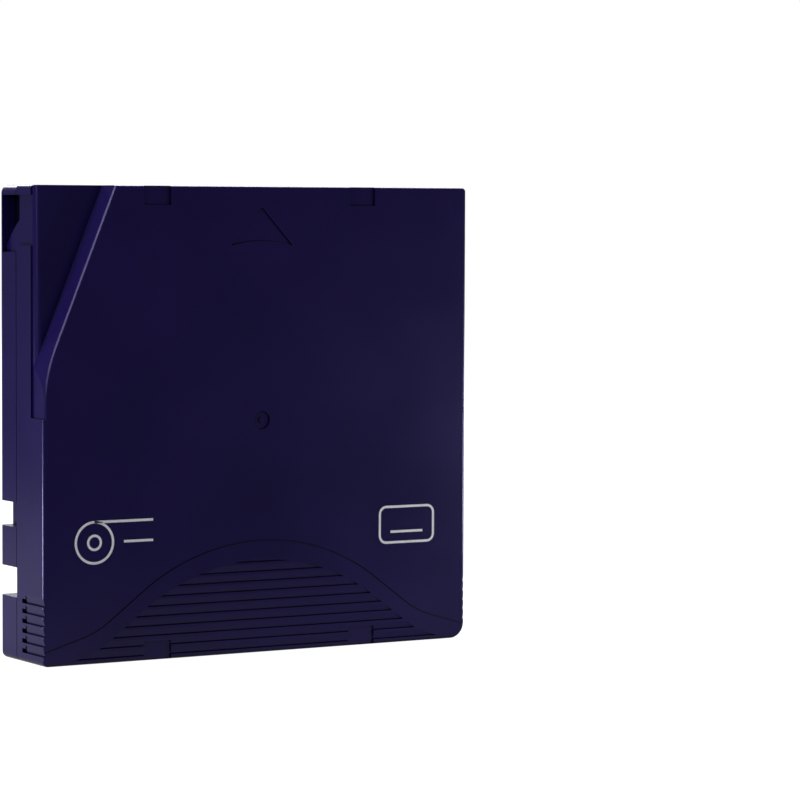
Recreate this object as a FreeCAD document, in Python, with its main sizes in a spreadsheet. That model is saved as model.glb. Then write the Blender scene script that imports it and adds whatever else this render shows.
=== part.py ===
"""Data tape cartridge: one reel of half-inch tape in a two-part moulded case.

Every sub-part is drawn as the cartridge lies flat on its bottom shell: x runs across it from
left to right, y from its rear edge to its front edge (the one that enters the drive), and z
up from the bottom face to the top face. A Placement then stands the cartridge on its rear
edge, with its top face towards -Y, so the model's origin is the middle of that edge.
"""
import FreeCAD, Part
import math
import os
from types import SimpleNamespace

import Sketcher
from FreeCAD import Placement, Rotation, Vector

SIZES = {
    # Case
    "case_width": 105.4,
    "case_length": 102.0,
    "case_thickness": 21.5,
    "seam_height": 8.4,
    "side_wall": 1.6,
    "top_wall": 1.6,
    "bottom_wall": 1.3,
    "rear_left_corner": 1.3,
    "rear_right_corner": 3.5,
    "upper_front_corner": 0.8,
    "lower_front_corner": 1.6,
    "inner_corner": 0.8,
    "top_edge_round": 0.6,
    "bottom_edge_round": 1.2,
    "seam_groove": 0.25,
    "joint_tongue_height": 1.2,
    "joint_tongue_wall": 0.75,
    "slip_gap": 0.1,
    "seat_gap": 0.05,
    # Insertion guide: the step cut into the front left of the top face
    "guide_depth": 4.6,
    "guide_roof": 1.1,
    "guide_front_width": 17.0,
    "guide_knee_width": 2.95,
    "guide_knee_place": 68.0,
    "guide_bend": 33.3,
    "guide_bend_end": 56.0,
    "guide_end_place": 52.6,
    "guide_taper": 11.0,
    "guide_wall": 2.4,
    "guide_edge_round": 1.4,
    "guide_side_step": 0.4,
    "guide_lip": 0.3,
    # Marks moulded into the top face
    "arrow_width": 15.5,
    "arrow_tip_place": 97.5,
    "arrow_foot_place": 89.1,
    "arrow_base_bend": 29.1,
    "arrow_depth": 0.35,
    "gate_dimple": 4.0,
    "gate_nub": 1.3,
    "gate_depth": 0.35,
    "gate_nub_rise": 0.25,
    "edge_pocket_width": 6.4,
    "edge_pocket_length": 4.1,
    "edge_pocket_place": 25.5,
    "edge_pocket_depth": 0.5,
    "grip_crest_place": 24.9,
    "grip_crown_bend": 48.5,
    "grip_flank_slope": 0.75,
    "grip_flank_length": 9.9,
    "grip_toe_bend": 20.0,
    "grip_toe_slope": 0.3,
    "grip_line_width": 0.4,
    "grip_line_depth": 0.2,
    "grip_margin": 4.5,
    "grip_pitch": 2.1,
    "grip_first_place": 1.0,
    "grip_groove_length": 1.6,
    "grip_groove_depth": 0.4,
    "grip_rows": 10,
    # Grooves in the left and right sides near the rear
    "side_grip_first": 2.15,
    "side_grip_pitch": 2.13,
    "side_grip_length": 1.9,
    "side_grip_depth": 0.45,
    "side_grip_reach": 8.8,
    "side_grip_rows": 6,
    "side_pit_height": 1.7,
    "side_pit_length": 0.95,
    "side_pit_depth": 1.0,
    # Notches that a library's gripper takes hold of
    "near_notch_place": 13.65,
    "near_notch_length": 6.5,
    "near_notch_depth": 5.6,
    "far_notch_place": 28.75,
    "far_notch_length": 5.35,
    "far_notch_depth": 3.0,
    "notch_wall": 1.2,
    # Label recess and write-protect window in the rear edge
    "label_width": 79.0,
    "label_height": 17.5,
    "label_right_margin": 4.2,
    "label_low": 2.0,
    "label_depth": 0.3,
    "protect_window_width": 10.4,
    "protect_window_height": 4.4,
    "protect_window_place": 9.2,
    "protect_window_low": 2.5,
    "protect_tab_width": 5.6,
    "protect_tab_sink": 0.6,
    "protect_plate_thickness": 1.2,
    "protect_plate_lap": 1.0,
    "protect_plate_height": 6.0,
    "protect_tab_gap": 0.2,
    "protect_ridge_width": 0.9,
    "protect_ridge_rise": 0.45,
    "guide_rib": 0.8,
    # Screws, their bosses and the positioning holes
    "screw_side_inset": 6.4,
    "screw_rear_place": 6.6,
    "screw_front_place": 95.4,
    "screw_door_side_inset": 10.2,
    "screw_door_place": 87.5,
    "screw_shank": 1.9,
    "screw_length": 11.0,
    "screw_tip": 1.2,
    "screw_head": 3.7,
    "screw_head_height": 1.2,
    "screw_recess_width": 2.0,
    "screw_recess_slot": 0.5,
    "screw_recess_depth": 0.7,
    "screw_seat": 1.5,
    "boss_wall": 1.5,
    "pilot_depth": 6.4,
    "positioning_hole": 3.5,
    "positioning_depth": 5.0,
    "positioning_wall": 1.0,
    "positioning_slot": 1.2,
    "positioning_inset": 7.7,
    "positioning_place": 79.0,
    # Tape window, door and door spring
    "window_front_margin": 2.1,
    "window_upper_rear": 89.2,
    "window_lower_rear": 87.7,
    "window_low": 1.4,
    "channel_wall": 0.9,
    "channel_rear": 52.0,
    "door_thickness": 1.1,
    "door_rear": 86.6,
    "door_front_gap": 0.1,
    "door_low": 1.5,
    "door_top_gap": 0.2,
    "door_travel": 12.5,
    "dish_high": 8.0,
    "dish_low_place": 89.2,
    "dish_high_place": 94.6,
    "dish_bend": 33.0,
    "dish_wall": 0.8,
    "dish_floor_depth": 3.2,
    "door_arm_width": 2.8,
    "door_arm_end": 75.0,
    "door_foot": 1.5,
    "door_guide_height": 1.4,
    "spring_seat_place": 54.9,
    "spring_seat_wall": 1.6,
    "door_spring_axis": 2.55,
    "door_spring_height": 9.2,
    "door_spring_coil": 2.1,
    "door_spring_wire": 0.32,
    "door_spring_turns": 8,
    "door_spring_pin": 1.1,
    "door_spring_pin_length": 5.0,
    # Leader pin, its clip, retaining wire and the tape's free end
    "pin_side_inset": 7.2,
    "pin_place": 94.5,
    "pin_core": 2.6,
    "pin_disc": 5.0,
    "pin_disc_thickness": 0.6,
    "pin_end_gap": 0.1,
    "pin_neck": 1.9,
    "pin_neck_length": 0.35,
    "clip_outer": 4.6,
    "clip_mouth": 1.9,
    "pin_pocket_gap": 0.65,
    "pin_seat_height": 0.7,
    "retainer_wire": 0.5,
    "retainer_reach": 4.3,
    "leader_thickness": 0.12,
    "leader_gap": 0.25,
    # Reel
    "tape_width": 12.65,
    "tape_low": 2.85,
    "tape_side_gap": 0.1,
    "pack_radius": 46.85,
    "reel_centre": 51.0,
    "hub_radius": 22.0,
    "hub_bore": 18.2,
    "flange_radius": 48.5,
    "flange_thickness": 1.0,
    "flange_eye": 16.8,
    "flange_spigot": 1.2,
    "web_low": 2.6,
    "web_thickness": 1.9,
    "tooth_count": 60,
    "drive_ring_inner": 15.2,
    "drive_ring_outer": 18.8,
    "drive_tooth_root": 1.3,
    "drive_tooth_height": 0.75,
    "drive_tooth_width": 1.4,
    "washer_inner": 6.5,
    "washer_outer": 14.6,
    "washer_thickness": 1.0,
    "hub_opening": 20.2,
    "hub_rim_width": 2.0,
    "reel_guide_radius": 49.4,
    "reel_guide_wall": 1.0,
    # Brake
    "brake_radius": 13.4,
    "brake_plate": 1.4,
    "brake_tooth_inner": 9.6,
    "brake_tooth_outer": 13.0,
    "brake_tooth_height": 1.2,
    "brake_tooth_width": 0.9,
    "brake_nose": 2.5,
    "brake_nose_length": 0.45,
    "brake_socket": 6.0,
    "brake_socket_length": 5.8,
    "brake_floor": 0.8,
    "brake_travel": 1.8,
    "post_width": 7.6,
    "post_thickness": 1.5,
    "post_gap": 0.15,
    "post_stop_gap": 0.3,
    "pad_disc": 8.6,
    "pad_arm_width": 3.0,
    "pad_thickness": 1.1,
    "pad_sink": 1.2,
    "pad_gap": 0.2,
    "leg_circle": 16.6,
    "leg_radius": 1.2,
    "leg_tip": 0.7,
    "pad_dome_base": 3.6,
    "pad_dome_top": 1.6,
    "brake_spring_coil": 16.6,
    "brake_spring_wire": 0.9,
    "brake_spring_turns": 4.5,
    "spring_cross_height": 1.2,
    # Cartridge memory
    "memory_left": 29.5,
    "memory_width": 13.0,
    "memory_thickness": 0.6,
    "memory_low": 0.4,
    "memory_run": 6.3,
    "memory_chip_width": 5.0,
    "memory_chip_run": 3.0,
    "memory_chip_height": 0.7,
    "memory_rib": 1.0,
    "memory_rib_inset": 0.8,
}


class Size:
    """A length kept both as its number and as the sheet formula that gives it."""

    def __init__(self, number, formula):
        self.number = number
        self.formula = formula

    def __add__(self, other):
        return combine(self, "+", other, self.number + plain(other))

    def __radd__(self, other):
        return combine(other, "+", self, plain(other) + self.number)

    def __sub__(self, other):
        return combine(self, "-", other, self.number - plain(other))

    def __rsub__(self, other):
        return combine(other, "-", self, plain(other) - self.number)

    def __mul__(self, other):
        return combine(self, "*", other, self.number * plain(other))

    def __rmul__(self, other):
        return combine(other, "*", self, plain(other) * self.number)

    def __truediv__(self, other):
        return combine(self, "/", other, self.number / plain(other))

    def __rtruediv__(self, other):
        return combine(other, "/", self, plain(other) / self.number)

    def __neg__(self):
        return Size(-self.number, f"(-1 * {self.formula})")


def plain(value):
    """The number behind a size, or the number itself."""
    return value.number if isinstance(value, Size) else float(value)


def formula(value):
    """The sheet formula behind a size, or the number as text."""
    return value.formula if isinstance(value, Size) else repr(float(value))


def combine(left, sign, right, number):
    return Size(number, f"({formula(left)} {sign} {formula(right)})")


def root(value):
    """The square root of a size."""
    return Size(math.sqrt(plain(value)), f"sqrt({formula(value)})")


doc = FreeCAD.newDocument("data_tape_cartridge")
sheet = doc.addObject("Spreadsheet::Sheet", "Sizes")
for row, (word, number) in enumerate(SIZES.items(), start=1):
    sheet.set(f"A{row}", word)
    sheet.set(f"B{row}", str(number))
    sheet.setAlias(f"B{row}", word)
doc.recompute()
s = SimpleNamespace(**{word: Size(float(number), f"Sizes.{word}") for word, number in SIZES.items()})

LYING_TO_STANDING = Rotation(Vector(1, 0, 0), 90)
DIAGONAL = math.sqrt(0.5)
MARGIN = 3.0    # how far a cutting outline runs past the face that it opens

LEFT = -s.case_width / 2
RIGHT = s.case_width / 2
FRONT = s.case_length
TOP = s.case_thickness
INNER_LEFT = LEFT + s.side_wall
INNER_RIGHT = RIGHT - s.side_wall
INNER_FRONT = FRONT - s.side_wall
INNER_TOP = TOP - s.top_wall
CHANNEL_LEFT = LEFT + s.channel_wall
GUIDE_FLOOR = TOP - s.guide_depth
GUIDE_CEILING = GUIDE_FLOOR - s.guide_roof
WINDOW_HIGH = GUIDE_FLOOR - s.guide_edge_round
WINDOW_FRONT = FRONT - s.window_front_margin
TAPE_HIGH = s.tape_low + s.tape_width
WEB_HIGH = s.web_low + s.web_thickness


# Ways of drawing

def bind(thing, path, value):
    """Ties a property to the sheet."""
    thing.setExpression(path, formula(value))


def new_body(label, across=0, along=0, up=0, turn=0.0):
    """Starts a sub-part whose own origin lies at (across, along, up) in the lying cartridge."""
    body = doc.addObject("PartDesign::Body", label)
    body.Label = label
    body.Placement = Placement(Vector(), LYING_TO_STANDING * Rotation(Vector(0, 0, 1), turn))
    bind(body, "Placement.Base.x", across)
    bind(body, "Placement.Base.y", s.case_thickness / 2 - up)
    bind(body, "Placement.Base.z", along)
    return body


def origin_of(body, role):
    """The body's own origin plane or axis with this role."""
    return next(item for item in body.Origin.OriginFeatures if item.Role == role)


def box(left, rear, right, front):
    """The corners of a rectangle."""
    return [(left, rear), (right, rear), (right, front), (left, front)]


def block(x, y, half):
    """The corners of a square round a middle."""
    return box(x - half, y - half, x + half, y + half)


def hexagon(x, y, radius):
    """The corners of a hexagon with two of them level with its middle."""
    half, rise = radius / 2, radius * math.sqrt(0.75)
    return [
        (x - radius, y), (x - half, y - rise), (x + half, y - rise),
        (x + radius, y), (x + half, y + rise), (x - half, y + rise),
    ]


def backwards(points):
    """An open line's points from its end to its start, with its arcs turned over."""
    ends = [point[:2] for point in reversed(points)]
    bends = [[-radius for radius in point[2:]] for point in reversed(points[1:])]
    return [ends[0]] + [(*end, *bend) for end, bend in zip(ends[1:], bends)]


def mirrored(outline):
    """The same straight-sided outline or disc on the other side of the middle."""
    if isinstance(outline, Disc):
        return Disc(-outline.x, outline.y, outline.radius)
    return [(-x, y) for x, y in reversed(outline)]


class Disc:
    """A full circle in an outline's place."""

    def __init__(self, x, y, radius):
        self.x, self.y, self.radius = x, y, radius


def arc_between(start, end, radius):
    """The short arc between two points: it turns left where its radius is positive."""
    chord = end - start
    half = chord.Length / 2
    side = Vector(-chord.y, chord.x, 0).normalize() * math.copysign(1, radius)
    centre = (start + end) / 2 + side * math.sqrt(max(radius * radius - half * half, 0))
    angles = [math.atan2(p.y - centre.y, p.x - centre.x) for p in (start, end)]
    if radius < 0:
        angles.reverse()
    return Part.ArcOfCircle(Part.Circle(centre, Vector(0, 0, 1), abs(radius)), *angles)


def tie(sketch, kind, places, value):
    """Adds one driving dimension and binds it to the sheet."""
    index = sketch.addConstraint(Sketcher.Constraint(kind, *places, plain(value)))
    word = f"size{index}"
    sketch.renameConstraint(index, word)
    bind(sketch, f"Constraints.{word}", value)


def draw_disc(sketch, disc):
    centre = Vector(plain(disc.x), plain(disc.y), 0)
    item = sketch.addGeometry(Part.Circle(centre, Vector(0, 0, 1), plain(disc.radius)), False)
    tie(sketch, "DistanceX", (-1, 1, item, 3), disc.x)
    tie(sketch, "DistanceY", (-1, 1, item, 3), disc.y)
    tie(sketch, "Radius", (item,), disc.radius)


def draw_outline(sketch, points):
    """Closes an outline through the points. A third value in a point is the radius of the arc
    that arrives there: it turns left where positive and right where negative."""
    first = sketch.GeometryCount
    ends = []
    for number, point in enumerate(points):
        before = points[number - 1]
        start = Vector(plain(before[0]), plain(before[1]), 0)
        end = Vector(plain(point[0]), plain(point[1]), 0)
        if len(point) == 2:
            sketch.addGeometry(Part.LineSegment(start, end), False)
        else:
            sketch.addGeometry(arc_between(start, end, plain(point[2])), False)
        ends.append((2, 1) if len(point) == 3 and plain(point[2]) < 0 else (1, 2))
    count = len(points)
    sketch.addConstraint([
        Sketcher.Constraint("Coincident", first + (number - 1) % count, ends[number - 1][1],
                            first + number, ends[number][0])
        for number in range(count)
    ])
    for number, point in enumerate(points):
        item, end = first + number, ends[number][1]
        tie(sketch, "DistanceX", (-1, 1, item, end), point[0])
        tie(sketch, "DistanceY", (-1, 1, item, end), point[1])
        if len(point) == 3:
            radius = point[2] if plain(point[2]) > 0 else -point[2]
            tie(sketch, "Radius", (item,), radius)


def new_sketch(body, plane, offset, outlines):
    """A sketch on one of the body's own origin planes, moved along its normal."""
    sketch = body.newObject("Sketcher::SketchObject", f"{body.Name}_sketch")
    sketch.AttachmentSupport = [(origin_of(body, plane), "")]
    sketch.MapMode = "FlatFace"
    bind(sketch, "AttachmentOffset.Base.z", offset)
    for outline in outlines:
        if isinstance(outline, Disc):
            draw_disc(sketch, outline)
        else:
            draw_outline(sketch, outline)
    return sketch


def extrude(body, kind, sketch, length, reverse=False):
    feature = body.newObject(f"PartDesign::{kind}", f"{body.Name}_{kind.lower()}")
    feature.Profile = sketch
    feature.Reversed = reverse
    feature.Refine = False
    bind(feature, "Length", length)
    sketch.Visibility = False
    return feature


def add_up(body, low, high, *outlines):
    """Adds material between two heights."""
    return extrude(body, "Pad", new_sketch(body, "XY_Plane", low, outlines), high - low)


def cut_up(body, low, high, *outlines):
    """Removes material between two heights."""
    return extrude(body, "Pocket", new_sketch(body, "XY_Plane", high, outlines), high - low)


def add_along(body, rear, front, *outlines):
    """Adds a section drawn in x and z, from one place along the cartridge to another."""
    sketch = new_sketch(body, "XZ_Plane", -rear if isinstance(rear, Size) else 0.0, outlines)
    return extrude(body, "Pad", sketch, front - rear, reverse=True)


def cut_along(body, rear, front, *outlines):
    """Removes a section drawn in x and z."""
    sketch = new_sketch(body, "XZ_Plane", -rear if isinstance(rear, Size) else 0.0, outlines)
    return extrude(body, "Pocket", sketch, front - rear)


def add_across(body, left, right, *outlines):
    """Adds a section drawn in y and z, from one place across the cartridge to another."""
    return extrude(body, "Pad", new_sketch(body, "YZ_Plane", left, outlines), right - left)


def cut_across(body, left, right, *outlines):
    """Removes a section drawn in y and z."""
    return extrude(body, "Pocket", new_sketch(body, "YZ_Plane", right, outlines), right - left)


def turn_up(body, outline):
    """Turns a section drawn in radius and height round the body's upright axis."""
    feature = body.newObject("PartDesign::Revolution", f"{body.Name}_turned")
    feature.Profile = new_sketch(body, "XZ_Plane", 0.0, [outline])
    feature.ReferenceAxis = (origin_of(body, "Z_Axis"), [""])
    feature.Angle = 360
    feature.Profile[0].Visibility = False
    return feature


def repeat_round(body, features, count):
    """Repeats features round the body's upright axis."""
    pattern = body.newObject("PartDesign::PolarPattern", f"{body.Name}_round")
    pattern.Originals = features
    pattern.Axis = (origin_of(body, "Z_Axis"), [""])
    pattern.Angle = 360
    bind(pattern, "Occurrences", count)
    body.Tip = pattern
    return pattern


def repeat_along(body, features, step, count):
    """Repeats features towards the front."""
    pattern = body.newObject("PartDesign::LinearPattern", f"{body.Name}_row")
    pattern.Originals = features
    pattern.Direction = (origin_of(body, "Y_Axis"), [""])
    bind(pattern, "Length", step * (count - 1))
    bind(pattern, "Occurrences", count)
    body.Tip = pattern
    return pattern


def round_edges(body, feature, radius, wanted):
    """Rounds the edges of the latest feature for which wanted(edge) holds."""
    doc.recompute()
    names = [f"Edge{i}" for i, edge in enumerate(feature.Shape.Edges, start=1) if wanted(edge)]
    fillet = body.newObject("PartDesign::Fillet", f"{body.Name}_round_edges")
    fillet.Base = (feature, names)
    bind(fillet, "Radius", radius)
    return fillet


def at_height(height):
    """A test for edges that lie wholly at one height in the lying cartridge."""
    def test(edge):
        bounds = edge.BoundBox
        return max(abs(bounds.ZMin - plain(height)), abs(bounds.ZMax - plain(height))) < 0.001
    return test


def boolean(kind, label, base, *tools):
    """Joins, cuts or intersects whole sub-parts."""
    feature = doc.addObject(f"Part::{kind}", label)
    feature.Label = label
    if kind == "Cut":
        feature.Base, feature.Tool = base, tools[0]
    else:
        feature.Shapes = [base, *tools]
    return feature


def case_plan(front_corner, inset=0):
    """The case's outline seen from above, with its own radius at each corner."""
    left, right = LEFT + inset, RIGHT - inset
    rear, front = 0 + inset, FRONT - inset
    rear_left = s.rear_left_corner - inset if plain(inset) < SIZES["rear_left_corner"] else s.inner_corner
    rear_right = s.rear_right_corner - inset
    front_corner = front_corner - inset if plain(inset) < plain(front_corner) else s.inner_corner
    return [
        (right - rear_right, rear),
        (right, rear + rear_right, rear_right),
        (right, front - front_corner),
        (right - front_corner, front, front_corner),
        (left + front_corner, front),
        (left, front - front_corner, front_corner),
        (left, rear + rear_left),
        (left + rear_left, rear, rear_left),
    ]


def screw_places():
    """Where the four case screws stand: rear pair, front right, and inboard of the door."""
    return [
        (LEFT + s.screw_side_inset, s.screw_rear_place),
        (RIGHT - s.screw_side_inset, s.screw_rear_place),
        (RIGHT - s.screw_side_inset, s.screw_front_place),
        (LEFT + s.screw_door_side_inset, s.screw_door_place),
    ]


PIN_X = LEFT + s.pin_side_inset
POSITIONING_X = RIGHT - s.positioning_inset
BOSS_HALF = s.screw_shank / 2 + s.boss_wall
PILOT_RADIUS = (s.screw_shank / 2 + s.seat_gap) / math.sqrt(0.75)
NOTCHES = [
    (s.near_notch_place, s.near_notch_length, s.near_notch_depth),
    (s.far_notch_place, s.far_notch_length, s.far_notch_depth),
]


def reel_guides():
    """Arcs in three corners that keep the reel's flanges inside the case."""
    inner, outer = s.reel_guide_radius, s.reel_guide_radius + s.reel_guide_wall
    outlines = []
    for middle in (45, -45, 225):
        ends = [math.radians(middle - 15), math.radians(middle + 15)]
        near, far = [(math.cos(angle), math.sin(angle)) for angle in ends]
        outlines.append([
            (outer * near[0], s.reel_centre + outer * near[1]),
            (outer * far[0], s.reel_centre + outer * far[1], outer),
            (inner * far[0], s.reel_centre + inner * far[1]),
            (inner * near[0], s.reel_centre + inner * near[1], -inner),
        ])
    return outlines


# Upper shell

def grip_line(drop):
    """The bell-shaped line from the left edge to the right edge, lowered by drop: a round
    crown, straight flanks, and bends that run out into shallow toes."""
    crown, bend = s.grip_crown_bend, s.grip_toe_bend
    steep, shallow = s.grip_flank_slope, s.grip_toe_slope
    flank_cos, toe_cos = 1 / root(1 + steep * steep), 1 / root(1 + shallow * shallow)
    flank_sin, toe_sin = steep * flank_cos, shallow * toe_cos
    meet_x = crown * flank_sin
    meet_y = s.grip_crest_place - crown + crown * flank_cos - drop
    low_x = meet_x + s.grip_flank_length * flank_cos
    low_y = meet_y - s.grip_flank_length * flank_sin
    toe_x = low_x + bend * (flank_sin - toe_sin)
    toe_y = low_y - bend * (toe_cos - flank_cos)
    edge_y = toe_y - shallow * (RIGHT - toe_x)
    return [
        (LEFT, edge_y), (-toe_x, toe_y), (-low_x, low_y, bend), (-meet_x, meet_y),
        (meet_x, meet_y, -crown), (low_x, low_y), (toe_x, toe_y, bend), (RIGHT, edge_y),
    ]


def make_face_grip():
    """The ribbed field under the bell-shaped line: wedge grooves clipped to the line's shape."""
    field = new_body("grip_field")
    depth = s.grip_groove_depth
    low_edge = -s.grip_margin - MARGIN
    add_up(field, TOP - depth, TOP + depth,
           [*grip_line(s.grip_margin), (RIGHT, low_edge), (LEFT, low_edge)])
    wedges = new_body("grip_wedges")
    rear = s.grip_first_place
    wedge = add_across(wedges, LEFT, RIGHT, [
        (rear, TOP - depth),
        (rear + s.grip_groove_length, TOP),
        (rear + s.grip_groove_length, TOP + depth),
        (rear, TOP + depth),
    ])
    repeat_along(wedges, [wedge], s.grip_pitch, s.grip_rows)
    return boolean("MultiCommon", "grip_grooves", wedges, field)


def guide_outline():
    """The insertion guide seen from above: it widens from a small step in the left side to the
    front edge."""
    step_x = LEFT + s.guide_side_step
    edge_x = LEFT + s.guide_front_width
    return [
        (edge_x, FRONT),
        (edge_x + MARGIN / 2, FRONT + MARGIN),
        (LEFT - MARGIN, FRONT + MARGIN),
        (LEFT - MARGIN, s.guide_end_place),
        (step_x, s.guide_end_place),
        (step_x, s.guide_bend_end),
        (LEFT + s.guide_knee_width, s.guide_knee_place, -s.guide_bend),
    ]


def make_insertion_guide():
    """The volume cut from the front left: a leaning wall with a chamfered lip, a small step
    along the side, and a section that rounds over the guide floor's outer edge."""
    plan = new_body("guide_plan")
    high = TOP + MARGIN / 3
    wall = extrude(plan, "Pad", new_sketch(plan, "XY_Plane", TOP, [guide_outline()]),
                   s.guide_depth + s.guide_edge_round + MARGIN / 3, reverse=True)
    bind(wall, "TaperAngle", -s.guide_taper)
    lip = extrude(plan, "Pad", new_sketch(plan, "XY_Plane", TOP - s.guide_lip, [guide_outline()]),
                  s.guide_lip + MARGIN / 3)
    lip.TaperAngle = 45
    add_up(plan, WINDOW_HIGH - MARGIN / 3, high,
           box(LEFT - MARGIN, s.guide_end_place, LEFT + s.guide_side_step, FRONT + MARGIN))
    section = new_body("guide_section")
    turn = s.guide_edge_round
    step_x = LEFT + s.guide_side_step
    right = LEFT + s.guide_front_width + 2 * MARGIN
    add_along(section, s.guide_end_place - MARGIN, FRONT + 2 * MARGIN, [
        (LEFT - 2 * MARGIN, WINDOW_HIGH),
        (step_x, WINDOW_HIGH),
        (step_x + turn, GUIDE_FLOOR, -turn),
        (right, GUIDE_FLOOR),
        (right, TOP + MARGIN),
        (LEFT - 2 * MARGIN, TOP + MARGIN),
    ])
    return boolean("MultiCommon", "guide_cut", plan, section)


def make_upper_shell():
    """Top face, most of the side walls, and everything moulded inside them."""
    shell = new_body("upper_shell_blank")
    blank = add_up(shell, s.seam_height, TOP, case_plan(s.upper_front_corner))
    round_edges(shell, blank, s.top_edge_round, at_height(TOP))

    # Inside: full height except under the insertion guide
    cut_up(shell, s.seam_height, GUIDE_CEILING, case_plan(s.upper_front_corner, s.side_wall))
    cut_up(shell, GUIDE_CEILING, INNER_TOP, [
        (INNER_LEFT, s.side_wall),
        (INNER_RIGHT, s.side_wall),
        (INNER_RIGHT, INNER_FRONT),
        (LEFT + s.guide_front_width + s.guide_wall, INNER_FRONT),
        (LEFT + s.guide_knee_width + s.guide_wall, s.guide_knee_place),
        (INNER_LEFT, s.guide_end_place + MARGIN),
    ])
    tongue_top = s.seam_height + s.joint_tongue_height
    cut_up(shell, s.seam_height, tongue_top + s.slip_gap,
           case_plan(s.upper_front_corner, s.side_wall - s.joint_tongue_wall - s.seat_gap))
    cut_up(shell, s.seam_height, GUIDE_CEILING - s.slip_gap,
           box(CHANNEL_LEFT, s.channel_rear, INNER_LEFT + s.inner_corner, INNER_FRONT))
    cut_up(shell, s.seam_height, WINDOW_HIGH,
           box(LEFT - MARGIN, s.window_upper_rear, CHANNEL_LEFT + s.slip_gap, WINDOW_FRONT))

    # Bosses, reel guides and the brake's post
    add_up(shell, s.seam_height, GUIDE_CEILING + s.guide_roof / 2,
           *[block(x, y, BOSS_HALF) for x, y in screw_places()])
    add_up(shell, GUIDE_CEILING, INNER_TOP + s.slip_gap,
           *[block(x, y, BOSS_HALF) for x, y in screw_places()[:3]])
    cut_up(shell, s.seam_height, s.seam_height + s.pilot_depth,
           *[hexagon(x, y, PILOT_RADIUS) for x, y in screw_places()])
    add_up(shell, s.seam_height, INNER_TOP + s.slip_gap, *reel_guides())
    post_low = brake_low() + s.brake_floor + s.brake_travel + s.post_stop_gap
    half, thin = s.post_width / 2, s.post_thickness / 2
    centre = s.reel_centre
    add_up(shell, post_low, INNER_TOP + s.slip_gap, box(-half, centre - thin, half, centre + thin))
    add_up(shell, post_low, INNER_TOP + s.slip_gap, box(-thin, centre - half, thin, centre + half))
    cross = s.brake_spring_coil / 2 - s.brake_spring_wire / 2 - 3 * s.slip_gap
    cross_low = INNER_TOP - s.spring_cross_height
    add_up(shell, cross_low, INNER_TOP + s.slip_gap,
           box(-cross, centre - thin, cross, centre + thin))
    add_up(shell, cross_low, INNER_TOP + s.slip_gap,
           box(-thin, centre - cross, thin, centre + cross))

    # Door guides and the pocket over the leader pin's upper disc
    guide_x = CHANNEL_LEFT + s.slip_gap + s.door_thickness + s.slip_gap
    guide_low = GUIDE_CEILING - s.door_guide_height
    add_up(shell, guide_low, GUIDE_CEILING + s.slip_gap,
           box(guide_x, s.door_arm_end - s.door_travel, guide_x + s.guide_rib,
               s.window_lower_rear),
           box(guide_x, WINDOW_FRONT - s.guide_rib, guide_x + s.guide_rib,
               INNER_FRONT + s.slip_gap))
    pocket = s.pin_disc / 2 + s.pin_pocket_gap
    pocket_high = pin_high() + s.pin_end_gap
    cut_up(shell, GUIDE_CEILING - s.slip_gap, pocket_high,
           box(INNER_LEFT + s.inner_corner, s.pin_place - pocket, PIN_X, s.pin_place + pocket))
    cut_up(shell, GUIDE_CEILING - s.slip_gap, pocket_high, Disc(PIN_X, s.pin_place, pocket))
    cut_up(shell, GUIDE_CEILING - s.slip_gap, pocket_high, retainer_slot())

    # Marks in the top face
    half = s.arrow_width / 2
    cut_up(shell, TOP - s.arrow_depth, TOP, [
        (-half, s.arrow_foot_place),
        (half, s.arrow_foot_place, -s.arrow_base_bend),
        (0, s.arrow_tip_place),
    ])
    cut_up(shell, TOP - s.gate_depth, TOP,
           Disc(0, centre, s.gate_dimple / 2), Disc(0, centre, s.gate_nub / 2))
    cut_up(shell, TOP - s.gate_depth + s.gate_nub_rise, TOP, Disc(0, centre, s.gate_nub / 2))
    pocket_left = s.edge_pocket_place - s.edge_pocket_width / 2
    pocket_right = s.edge_pocket_place + s.edge_pocket_width / 2
    pockets = [
        box(pocket_left, FRONT - s.edge_pocket_length, pocket_right, FRONT + MARGIN),
        box(pocket_left, 0 - MARGIN, pocket_right, s.edge_pocket_length),
    ]
    cut_up(shell, TOP - s.edge_pocket_depth, TOP, *pockets, *[mirrored(each) for each in pockets])
    cut_up(shell, TOP - s.grip_line_depth, TOP,
           [*grip_line(0), *backwards(grip_line(s.grip_line_width))])

    # Grooves in both sides, and the label recess in the rear edge
    rear = s.side_grip_first
    groove = [
        (LEFT - MARGIN, rear),
        (LEFT + s.side_grip_depth, rear),
        (LEFT, rear + s.side_grip_length),
        (LEFT - MARGIN, rear + s.side_grip_length),
    ]
    pit = box(LEFT - MARGIN, rear, LEFT + s.side_pit_depth, rear + s.side_pit_length)
    reach = TOP - s.side_grip_reach
    grooves = cut_up(shell, reach, TOP, groove, mirrored(groove))
    pits = cut_up(shell, reach - s.side_pit_height, reach, pit, mirrored(pit))
    repeat_along(shell, [grooves, pits], s.side_grip_pitch, s.side_grip_rows)
    cut_along(shell, 0, s.label_depth, label_outline())

    shell_and_grip = boolean("Cut", "upper_shell_gripped", shell, make_face_grip())
    return boolean("Cut", "upper_shell", shell_and_grip, make_insertion_guide())


def label_outline():
    right = RIGHT - s.label_right_margin
    return box(right - s.label_width, s.label_low, right, s.label_low + s.label_height)


# Lower shell

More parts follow.
